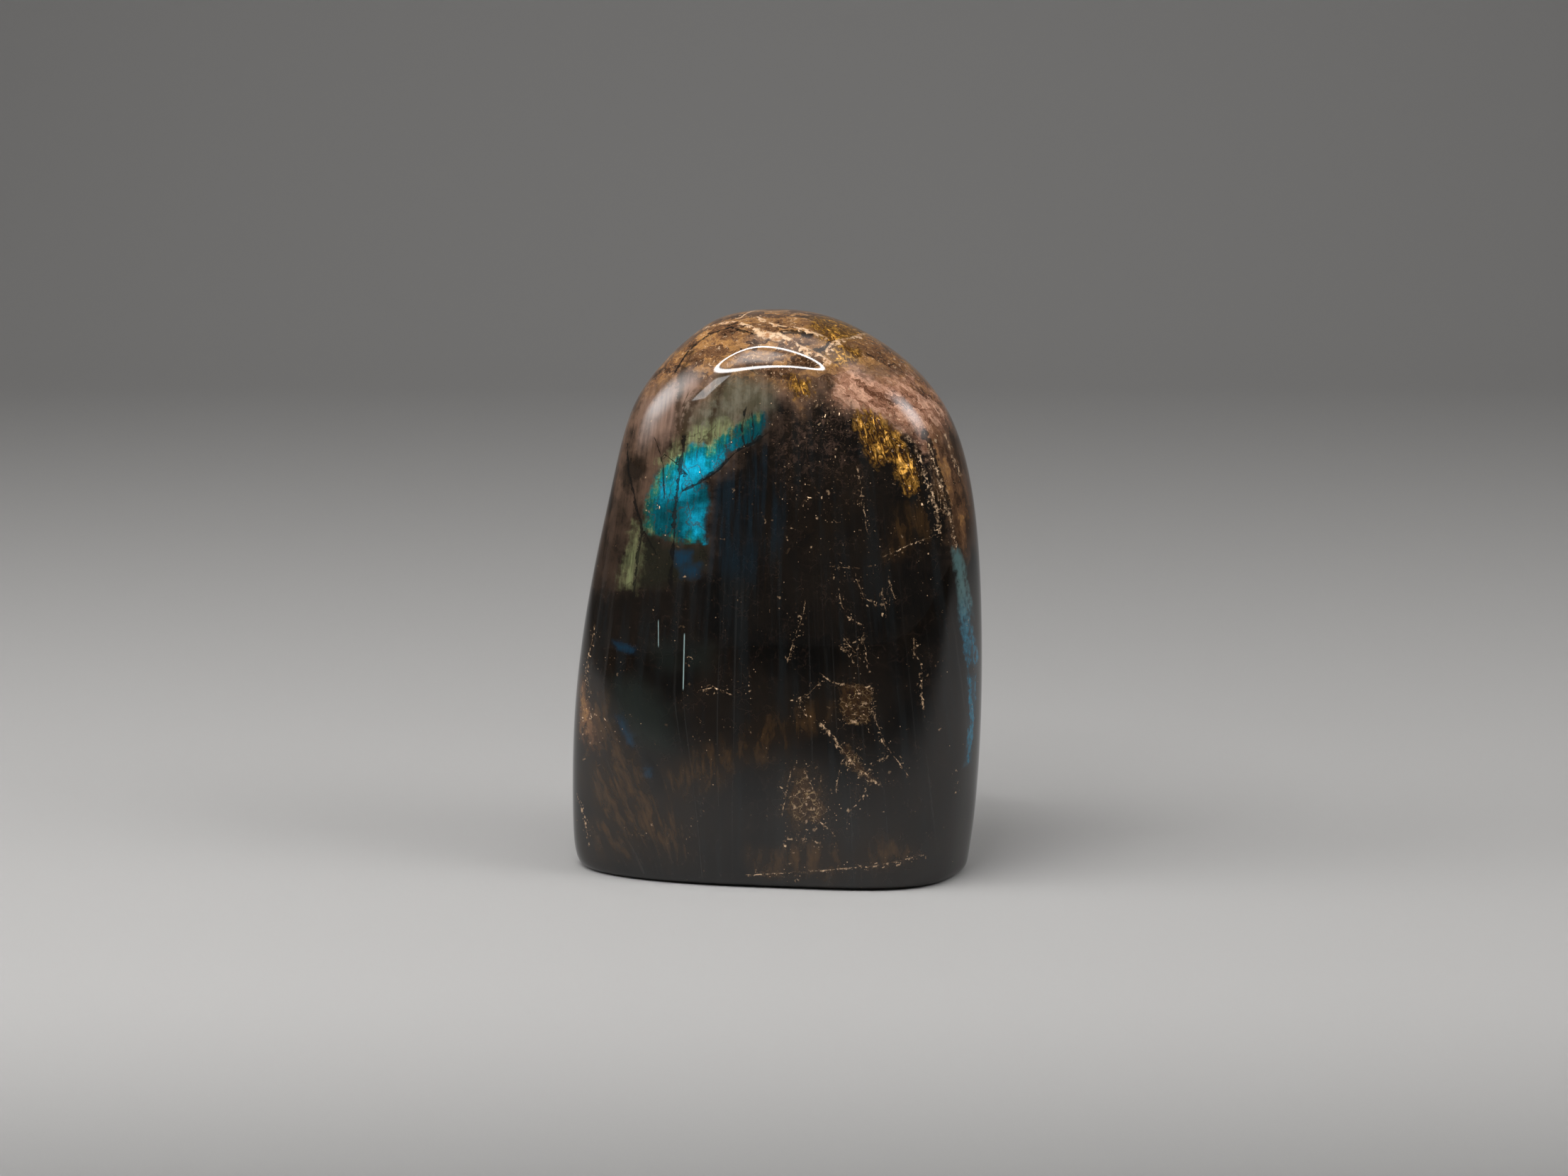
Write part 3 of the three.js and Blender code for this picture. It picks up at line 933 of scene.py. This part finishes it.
def dark_body(paint):
    """Dark feldspar: smoky clouds in near-black, with thin lamellae and long pale needles."""
    cloud = paint.noise(paint.place, 0.06, 3.0, 0.6)
    colour = paint.mix(paint.ramp(cloud, 0.38, 0.66), NEAR_BLACK, SMOKY)
    colour = paint.mix(paint.ramp(paint.sheets, 0.48, 0.68, 0.0, 0.6), colour, SLATE)
    colour = paint.mix(paint.ramp(paint.fibres, 0.52, 0.74, 0.0, 0.4), colour, UMBER)
    mist = paint.drawn_out(paint.grain, MIST_STRETCH, 4.0, 0.55, 0.5)
    colour = paint.mix(paint.ramp(mist, 0.5, 0.72, 0.0, 0.5), colour, MIST_BROWN)
    stripes = paint.drawn_out(paint.grain, NEEDLE_STRETCH, 2.0, 0.5)
    low_down = paint.ramp(paint.height, 66.0, 40.0, 0.0, 0.35)
    return paint.mix(paint.times(paint.ramp(stripes, 0.58, 0.7), low_down), colour, NEEDLE_GREY)


def broken_body(paint, colour, broken):
    """Breaks in the dark body: dim shell-like seams, and reddish-brown crumbs where it is broken up, partly
    painted light.
    """
    shells = paint.times(paint.shards(paint.torn, SHELL_CELLS), broken)
    colour = paint.mix(paint.times(shells, 0.35), colour, UMBER)
    shown = paint.ramp(paint.noise(paint.place, 0.3), 0.42, 0.6, 0.0, 0.12)
    seams = paint.times(paint.seams(paint.torn, SEAM_CELLS, 0.04), shown)
    crumbs_and_top_light = paint.ramp(paint.noise(paint.place, 0.9, 8.0, 0.78, 0.8), 0.48, 0.66)
    # The crumbs grow in towards the top: painted light fading down from the lit crown
    crumbs_and_top_light = paint.times(crumbs_and_top_light, paint.times(broken, paint.ramp(paint.height, 66.0, 85.0)))
    return paint.mix(paint.add(seams, crumbs_and_top_light), colour, CRUMB_BROWN)


def crown_stone(paint):
    """The crown: long torn shards lying over the dome, in dark rust, brown and gold, with pale flecks painted
    as glints.
    """
    lying = paint.stretched(paint.torn, CROWN_STRETCH)
    tone = paint.add(paint.times(paint.shards(lying, 1.0), 0.3), paint.noise(lying, 2.4, 5.0, 0.7, 0.5))
    colour = paint.mix(paint.ramp(tone, 0.4, 0.64), CROWN_DARK, CROWN_RUST)
    colour = paint.mix(paint.ramp(tone, 0.6, 0.9), colour, CROWN_GOLD)
    glint_flecks = paint.ramp(paint.noise(paint.torn, 1.5, 3.0, 0.7), 0.58, 0.7, 0.0, 0.6)
    return paint.mix(glint_flecks, colour, GLINT_PALE)


def lit_stone(paint, colour):
    """Where light from above is painted in: warm brown-grey shoulders in upright bands, turning into the
    crown, stronger towards the top.
    """
    clouds = paint.noise(paint.torn, 0.2, 4.0, 0.6)
    bands = paint.add(paint.times(paint.sheets, 0.5), paint.times(clouds, 0.5))
    shoulder = paint.mix(paint.ramp(bands, 0.38, 0.6), SHOULDER_DARK, SHOULDER_PALE)
    shoulder = paint.mix(paint.ramp(paint.fibres, 0.5, 0.75, 0.0, 0.35), shoulder, SHOULDER_DARK)
    level = paint.add(paint.height, paint.times(paint.broad, 18.0))
    light = paint.mix(paint.ramp(level, 84.0, 93.0), shoulder, crown_stone(paint))
    # Painted light: the lit colours grow stronger towards the top, as if lit from above
    painted_top_light = paint.ramp(level, 50.0, 90.0, 0.15, 1.0)
    return paint.mix(paint.times(paint.patch("daylight", 2.5, 9.0, 4.0), painted_top_light), colour, light)


def brown_stain(paint, colour):
    """Golden-brown iron stain, streaked along the lamellae."""
    streaks = paint.drawn_out(paint.grain, STAIN_STRETCH, 5.0, 0.65, 0.5)
    stain = paint.mix(paint.ramp(streaks, 0.4, 0.7), BROWN_DEEP, BROWN_GOLD)
    return paint.mix(paint.times(paint.patch("brown", 3.0, 7.0, 3.0), 0.75), colour, stain)


def grey_green(paint, colour):
    """Cloudy grey-green feldspar above the flash, dark olive below it, and soft depths low down."""
    clouds = paint.noise(paint.torn, 0.3, 4.0, 0.6)
    cloudy = paint.add(paint.times(paint.sheets, 0.4), paint.times(clouds, 0.6))
    green = paint.mix(paint.ramp(cloudy, 0.4, 0.6), SAGE_DARK, SAGE_PALE)
    green = paint.mix(paint.ramp(paint.fibres, 0.55, 0.75, 0.0, 0.3), green, SHOULDER_DARK)
    colour = paint.mix(paint.times(paint.patch("sage", 2.2, 4.0, 2.0), 0.85), colour, green)
    colour = paint.mix(paint.times(paint.patch("olive", 1.5, 2.0, 2.0), 0.85), colour, OLIVE_DARK)
    return paint.mix(paint.times(paint.patch("deep_sage", 3.2, 5.0, 1.0), 0.75), colour, SAGE_DEEP)


def painted_shoulder_sheen(paint, colour):
    """Painted sheen: pinkish light painted into the colour of the left shoulder, in upright streaks."""
    streaked = paint.ramp(paint.sheets, 0.35, 0.62, 0.3, 0.9)
    return paint.mix(paint.times(paint.patch("painted_sheen", 3.0, 4.0, 3.0), streaked), colour, PAINTED_SHEEN)


def rose_shoulder(paint, colour):
    """Rose-brown feldspar torn into slanting shards, with thin pale and dark strands along them."""
    slope = paint.turned(paint.torn, ROSE_TURN)
    slant = paint.stretched(slope, ROSE_STRETCH)
    tone = paint.add(paint.times(paint.shards(slant, 1.0), 0.35), paint.noise(slant, 2.6, 6.0, 0.78, 0.5))
    rose = paint.mix(paint.ramp(tone, 0.48, 0.66), ROSE_DARK, ROSE_BROWN)
    # The palest tones and pale strands are partly painted sheen
    rose = paint.mix(paint.ramp(tone, 0.66, 0.9), rose, ROSE_PALE_SHEEN)
    strands = paint.drawn_out(slope, STRAND_STRETCH, 3.0, 0.6)
    rose = paint.mix(paint.ramp(strands, 0.55, 0.68, 0.0, 0.6), rose, ROSE_PALE_SHEEN)
    rose = paint.mix(paint.ramp(strands, 0.44, 0.34, 0.0, 0.6), rose, ROSE_DARK)
    return paint.mix(paint.times(paint.patch("rose", 2.0, 5.0, 5.0), 0.9), colour, rose)


def ridge_stone(paint, colour):
    """Cloudy brown-gold stone behind the ridges, in long soft clouds with brighter cores."""
    tone = paint.drawn_out(paint.torn_grain, RIDGE_STRETCH, 6.0, 0.66, 0.6)
    ridge = paint.mix(paint.ramp(tone, 0.4, 0.56), CROWN_DARK, CROWN_RUST)
    ridge = paint.mix(paint.ramp(tone, 0.54, 0.7), ridge, CROWN_GOLD)
    return paint.mix(paint.times(paint.patch("ridges", 2.5, 4.0, 4.0), 0.85), colour, ridge)


def blue_bands(paint, colour):
    """Faint upright blue bands in the dark."""
    bands = paint.ramp(paint.sheets, 0.42, 0.64, 0.0, 0.7)
    return paint.mix(paint.times(paint.patch("dim_flash", 2.5), bands), colour, DIM_BLUE)


def crystals(paint):
    """Yellow-gold crystals: feathery splinters that lean steeply down to the right, their palest, cream tops
    painted highlights.

    Returns the colour and the lustre.
    """
    lustre = paint.drawn_out(paint.turned(paint.place, CRYSTAL_TURN), CRYSTAL_STRETCH, 7.0, 0.72, 1.5)
    colour = paint.mix(paint.ramp(lustre, 0.47, 0.62), GOLD_DEEP, GOLD_BRIGHT)
    # The palest, cream tops are painted highlights
    return paint.mix(paint.ramp(lustre, 0.62, 0.71), colour, CREAM_PALE), lustre


def gold_clusters(paint, colour, crystal_colour, lustre):
    """Clusters of gold crystals, dark between them.

    Returns the colour and the crystals' mask.
    """
    reach = paint.add(paint.add(paint.field("gold"), 0.6), paint.times(paint.ragged, 4.0))
    near = paint.ramp(reach, -1.0, 1.0)
    gold = paint.times(near, paint.ramp(lustre, 0.41, 0.5))
    colour = paint.mix(paint.times(near, 0.6), colour, CROWN_DARK)
    return paint.mix(gold, colour, crystal_colour), gold


def netted_facets(paint, colour, lustre):
    """The facet, wedge and arch low on the right: dull brown crystals under a thin golden net."""
    facet = paint.patch("facet", 0.5, 0.0, 1.5)
    brown = paint.mix(paint.ramp(lustre, 0.42, 0.66), CROWN_DARK, BROWN_GOLD)
    colour = paint.mix(paint.times(facet, 0.6), colour, brown)
    net = paint.times(paint.seams(paint.torn, NET_CELLS, 0.055), paint.ramp(paint.ragged, -0.08, 0.1))
    return paint.mix(paint.times(net, facet), colour, FACET_GOLD)


def lime_rims(paint, colour):
    """Pale yellow-green beside the flash, in fibres, weaker low down."""
    threads = paint.ramp(paint.fibres, 0.4, 0.66, 0.4, 1.0)
    strength = paint.ramp(paint.height, 58.0, 72.0, 0.6, 1.0)
    lime = paint.times(paint.times(paint.patch("lime", 1.2, 2.0, 4.0), threads), strength)
    return paint.mix(lime, colour, LIME_GREEN)


def flash_light(paint):
    """The flash's colour: lime at its rim, green, teal, then azure at its core, in blotches and fibres."""
    depth = paint.add(paint.field("rim_near"), paint.times(paint.ragged, 5.0))
    depth = paint.add(depth, paint.times(paint.add(paint.sheets, -0.5), 9.0))
    colour = paint.mix(paint.ramp(depth, -1.2, 0.7), LIME_GREEN, FLASH_GREEN)
    colour = paint.mix(paint.ramp(depth, 0.2, 1.9), colour, FLASH_TEAL)
    core = paint.patch("flash_core", 2.6, 3.5, 3.0)
    colour = paint.mix(paint.times(paint.ramp(depth, 1.4, 3.4), core), colour, FLASH_AZURE)
    blotch = paint.ramp(paint.noise(paint.torn, 0.45, 4.0, 0.65), 0.3, 0.66, 0.3, 0.75)
    threads = paint.ramp(paint.fibres, 0.28, 0.68, 0.0, 0.3)
    dust = paint.ramp(paint.noise(paint.place, 5.0, 2.0, 0.6), 0.3, 0.7, 0.0, 0.25)
    texture = paint.add(blotch, paint.add(threads, dust))
    return paint.scaled(colour, paint.times(texture, paint.add(0.32, paint.times(core, 0.66))))


def small_flashes(paint, colour):
    """Small deep-blue flashes on the left, and paler ones down the right edge that turn bluer below."""
    threads = paint.add(0.3, paint.times(paint.fibres, 0.8))
    colour = paint.mix(paint.times(paint.patch("deep_flash", 1.0, 1.5, 2.0), threads), colour, DEEP_BLUE)
    sheets = paint.add(paint.sheets, paint.times(paint.ragged, 0.6))
    uneven = paint.ramp(sheets, 0.36, 0.62, 0.15, 0.95)
    level = paint.add(paint.height, paint.times(paint.ragged, 8.0))
    side = paint.mix(paint.ramp(level, 42.0, 54.0), SIDE_BLUE, SIDE_PALE)
    return paint.mix(paint.times(paint.patch("side_flash", 0.8, 1.5, 2.0), uneven), colour, side)


def flash_breaks(paint, colour, flash):
    """Thin breaks along the lamellae, across the flash and its lime rims."""
    breaks = paint.seams(paint.stretched(paint.torn_grain, BREAK_STRETCH), 1.0, 0.035)
    shown = paint.times(breaks, paint.most(flash, paint.patch("lime", 2.0)))
    return paint.mix(paint.times(shown, 0.6), colour, SHOULDER_DARK)


def streaks_and_cracks(paint, colour, swing):
    """Soft brown streaks, and dark cleavage cracks over them.

    Returns the colour and the cracks' mask.
    """
    streak = paint.line("streak", paint.add(0.4, swing), 1.2, 0.7)
    colour = paint.mix(paint.times(streak, 0.85), colour, STREAK_BROWN)
    dark = paint.line("dark_crack", paint.add(0.3, swing), 0.7)
    return paint.mix(paint.times(dark, 0.85), colour, CRACK_DARK), dark


def cream_veins(paint, colour, swing):
    """Broken cream veins with rusty parts, and the cream patch that they meet in."""
    vein = paint.line("cream_vein", paint.add(0.05, swing), 3.0, 0.15)
    vein = paint.times(vein, paint.ramp(paint.noise(paint.torn, 0.5, 3.0), 0.32, 0.44))
    cream = paint.most(vein, paint.patch("cream", 0.4, 1.0, 3.0))
    pale = paint.ramp(paint.noise(paint.place, 0.9, 3.0, 0.6), 0.36, 0.56)
    return paint.mix(cream, colour, paint.mix(pale, CREAM_RUST, CREAM_PALE))


def flakes(paint, place, scale, density):
    """Separate flakes: cells whose random number is below the density, each smaller than its cell.

    Returns their mask times each flake's painted glint brightness, dim ones being the most common.
    """
    distance, colour = paint.cells(place, scale)
    roll, tone, _ = paint.parts(colour)
    shown = paint.ramp(paint.less(roll, density), 0.02, -0.02)
    return paint.times(paint.times(shown, paint.ramp(distance, 0.5, 0.2)), paint.math("POWER", tone, 2.6))


def glitter(paint, broken, swing):
    """Mask of painted glints on the gold cracks, which are beaded, and on loose chips and specks, thick
    beside the cracks.
    """
    beads = paint.ramp(paint.noise(paint.place, 1.7, 3.0, 0.65), 0.4, 0.68)
    cracks = paint.times(paint.line("gold_crack", swing, 1.0), beads)
    clusters = paint.ramp(paint.noise(paint.place, 0.17, 2.0), 0.5, 0.68, 0.0, 0.08)
    beside = paint.ramp(paint.field("gold_crack_near"), 1.5, 0.2, 0.0, 0.36)
    around = paint.add(clusters, paint.times(broken, 0.12))
    around = paint.add(around, paint.times(paint.patch("glitter", 3.0), 0.35))
    density = paint.most(beside, around)
    chips = flakes(paint, paint.torn_grain, CHIP_CELLS, density)
    specks = flakes(paint, paint.place, SPECK_CELLS, paint.times(density, 0.8))
    return paint.most(cracks, paint.most(chips, specks))


def tilted_normal(paint, flash, sparkle, dark):
    """Lamellae and crystals lie tilted under the polish, so they catch light that the skin does not."""
    facets = paint.vector("SUBTRACT", paint.cells(paint.torn, FACET_CELLS)[1], (0.5, 0.5, 0.5))
    tilt = paint.vector("ADD", paint.scaled(FLASH_TILT, flash), paint.scaled(facets, sparkle))
    skin = paint.node("ShaderNodeNewGeometry", {}).outputs["Normal"]
    tilted = paint.vector("NORMALIZE", paint.vector("ADD", skin, tilt))
    relief = paint.less(paint.times(paint.fibres, paint.times(flash, 0.6)), dark)
    inputs = {"Height": relief, "Normal": tilted, "Strength": RELIEF_STRENGTH, "Distance": RELIEF_DEPTH}
    return paint.node("ShaderNodeBump", inputs).outputs["Normal"]


def add_polish(paint, colour, flash, sparkle, dark):
    """The stone's shader: lamellae and crystals that shine, under a clear coat that ends above the foot."""
    metal = paint.most(paint.times(flash, FLASH_METAL), paint.times(sparkle, SPARKLE_METAL))
    shader = paint.node("ShaderNodeBsdfPrincipled", {
        "Base Color": colour,
        "Metallic": metal,
        "Roughness": INNER_ROUGHNESS,
        "Normal": tilted_normal(paint, flash, sparkle, dark),
        "Specular IOR Level": 0.0,
        "Coat Weight": paint.ramp(paint.height, DULL_BELOW, POLISHED_ABOVE),
        "Coat Roughness": POLISH_ROUGHNESS,
        "Coat IOR": POLISH_IOR,
    })
    paint.node("ShaderNodeOutputMaterial", {"Surface": shader.outputs["BSDF"]})


def make_labradorite():
    """The polished stone: a dark body, patches with painted light and sheen, flash, cracks and painted glints
    in order, under a clear coat.
    """
    material = blank_material("labradorite_polished")
    paint = StonePaint(material.node_tree)

    broken = paint.patch("crackle", 5.0, 6.0, 3.0)
    colour = broken_body(paint, dark_body(paint), broken)
    colour = grey_green(paint, brown_stain(paint, lit_stone(paint, colour)))
    colour = rose_shoulder(paint, painted_shoulder_sheen(paint, colour))
    colour = blue_bands(paint, ridge_stone(paint, colour))

    crystal_colour, lustre = crystals(paint)
    colour, gold = gold_clusters(paint, colour, crystal_colour, lustre)
    colour = lime_rims(paint, netted_facets(paint, colour, lustre))
    flash = paint.patch("flash", 0.6, 1.0, 2.6)
    colour = paint.mix(flash, colour, flash_light(paint))
    colour = flash_breaks(paint, small_flashes(paint, colour), flash)

    swing = paint.swing()
    colour, dark = streaks_and_cracks(paint, colour, swing)
    colour = cream_veins(paint, colour, swing)
    glint = glitter(paint, broken, swing)
    # Painted glints, from rust to pale
    colour = paint.mix(glint, colour, paint.mix(glint, GLINT_RUST, GLINT_PALE))
    # Painted glints along the two hair-thin lines
    colour = paint.mix(paint.line("hair", 1.0, 0.0), colour, HAIR_GLINT_WHITE)

    add_polish(paint, colour, flash, paint.most(gold, glint), dark)
    return material


def floor_material():
    """Plain pale floor, which dims towards the camera so that the polish doesn't mirror its edge."""
    material = blank_material("pale_sweep")
    paint = Paint(material.node_tree)
    metres = paint.node("ShaderNodeTexCoord", {}).outputs["Object"]
    along = paint.node("ShaderNodeSeparateXYZ", {0: metres}).outputs["Y"]
    colour = paint.mix(paint.ramp(along, SWEEP_DIM_FROM, SWEEP_DIM_TO), FLOOR_PALE, FLOOR_DIM)
    inputs = {"Base Color": colour, "Roughness": FLOOR_ROUGHNESS}
    shader = paint.node("ShaderNodeBsdfPrincipled", inputs)
    paint.node("ShaderNodeOutputMaterial", {"Surface": shader.outputs["BSDF"]})
    return material


def glowing_material(name, radiance, soft_from):
    """A lamp's face: even light that fades to nothing between soft_from and its rim, by its own UV."""
    material = blank_material(name)
    paint = Paint(material.node_tree)
    uv = paint.node("ShaderNodeUVMap", {}).outputs["UV"]
    axes = paint.node("ShaderNodeSeparateXYZ", {0: uv}).outputs
    fade = radiance
    for axis in ("X", "Y"):
        edge = paint.math("ABSOLUTE", paint.times(paint.add(axes[axis], -0.5), 2.0))
        fade = paint.times(fade, paint.ramp(edge, 1.0, soft_from))
    light = paint.node("ShaderNodeEmission", {"Color": WHITE, "Strength": fade})
    paint.node("ShaderNodeOutputMaterial", {"Surface": light.outputs["Emission"]})
    return material


def stage_mesh(name, points, faces, material, uvs=None):
    """A staged mesh, which isn't part of the object."""
    mesh = bpy.data.meshes.new(name)
    mesh.from_pydata([tuple(point) for point in points], [], faces)
    if uvs is not None:
        layer = mesh.uv_layers.new(name="UVMap")
        corners = [uvs[i] for face in faces for i in face]
        layer.data.foreach_set("uv", np.array(corners, float).ravel())
    mesh.materials.append(material)
    item = bpy.data.objects.new(name, mesh)
    bpy.context.scene.collection.objects.link(item)
    return item


def add_lamp(name, points, faces, uvs, radiance, soft_from):
    """A glowing mesh that lights the stone and shows in its polish, but not to the camera itself."""
    lamp = stage_mesh(name, points, faces, glowing_material(name, radiance, soft_from), uvs)
    lamp.visible_camera = False


def add_panel(name, place, distance, width, height, radiance, soft_from):
    """A soft rectangular lamp that looks at the middle of the stone."""
    across, up, out = seen_from(place)
    centre = LAMP_AIM + distance * out
    sides = [(0, 0), (1, 0), (1, 1), (0, 1)]
    corners = [centre + (x - 0.5) * width * across + (y - 0.5) * height * up for x, y in sides]
    add_lamp(name, corners, [(0, 1, 2, 3)], sides, radiance, soft_from)


def add_ring_lamp():
    """A flat ring of light above and to the left of the camera, whose outline shows in the crown."""
    across, up, out = seen_from(RING_PLACE)
    centre = LAMP_AIM + RING_FAR * out
    turns = np.linspace(0, 2 * np.pi, RING_PIECES, endpoint=False)
    sideways, upwards = np.cos(turns)[:, None] * across, np.sin(turns)[:, None] * up
    outer = RING_WIDE * sideways + RING_TALL * upwards
    inner = outer - RING_BAND[0] * sideways - RING_BAND[1] * upwards
    points = np.concatenate([centre + inner, centre + outer])
    here, after = np.arange(RING_PIECES), np.roll(np.arange(RING_PIECES), -1)
    faces = np.stack([here, here + RING_PIECES, after + RING_PIECES, after], 1).tolist()
    uvs = [(0.5, 0.0)] * RING_PIECES + [(0.5, 1.0)] * RING_PIECES
    add_lamp("ring_lamp", points, faces, uvs, RING_RADIANCE, RING_SOFT_FROM)


def add_sweep():
    """The pale floor, which curves up behind the stone into an upright backdrop."""
    bend = np.linspace(0, np.pi / 2, SWEEP_BEND_STEPS)
    profile = [(SWEEP_FRONT, 0.0)]
    profile += [(SWEEP_BACK + SWEEP_BEND * np.sin(a), SWEEP_BEND * (1 - np.cos(a))) for a in bend]
    profile += [(SWEEP_BACK + SWEEP_BEND, SWEEP_TOP)]
    points = [(side * SWEEP_SIDE, y, z) for y, z in profile for side in (-1, 1)]
    faces = [(2 * i, 2 * i + 1, 2 * i + 3, 2 * i + 2) for i in range(len(profile) - 1)]
    sweep = stage_mesh("pale_sweep", points, faces, floor_material())
    sweep.data.polygons.foreach_set("use_smooth", np.ones(len(faces), bool))


def set_world():
    """A dim, even surround."""
    world = bpy.data.worlds.new("dim_surround")
    world.use_nodes = True
    back = world.node_tree.nodes["Background"]
    back.inputs["Color"].default_value = SURROUND
    back.inputs["Strength"].default_value = 1.0
    bpy.context.scene.world = world


stone = make_stone()
mark_stone(stone)
stone.data.materials.append(make_labradorite())
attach(stone, "root")
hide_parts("stone")

add_sweep()
add_ring_lamp()
for panel in PANELS:
    add_panel(*panel)
set_world()
bpy.context.scene.view_settings.view_transform = "Standard"


# The camera looks at the middle of the stone, slightly from above
LENS = 76.5
SENSOR_WIDTH = 36
CAMERA_UP = 10.5
CAMERA_FAR = 600.0
NEAREST_SEEN = 0.01
CAMERA_TARGET = (1.4, 0.0, 50.24)


def add_camera():
    """A camera on a circle round its target, at the photograph's angle, with no shift."""
    camera = bpy.data.cameras.new("camera")
    camera.lens = LENS
    camera.sensor_width = SENSOR_WIDTH
    camera.clip_start = NEAREST_SEEN
    camera.dof.use_dof = False
    holder = bpy.data.objects.new("camera", camera)
    bpy.context.scene.collection.objects.link(holder)
    rise = np.radians(CAMERA_UP)
    target = Vector(CAMERA_TARGET) * MM
    eye = target + Vector((0, -np.cos(rise), np.sin(rise))) * CAMERA_FAR * MM
    holder.location = eye
    holder.rotation_euler = (target - eye).to_track_quat("-Z", "Y").to_euler()
    bpy.context.scene.camera = holder


add_camera()
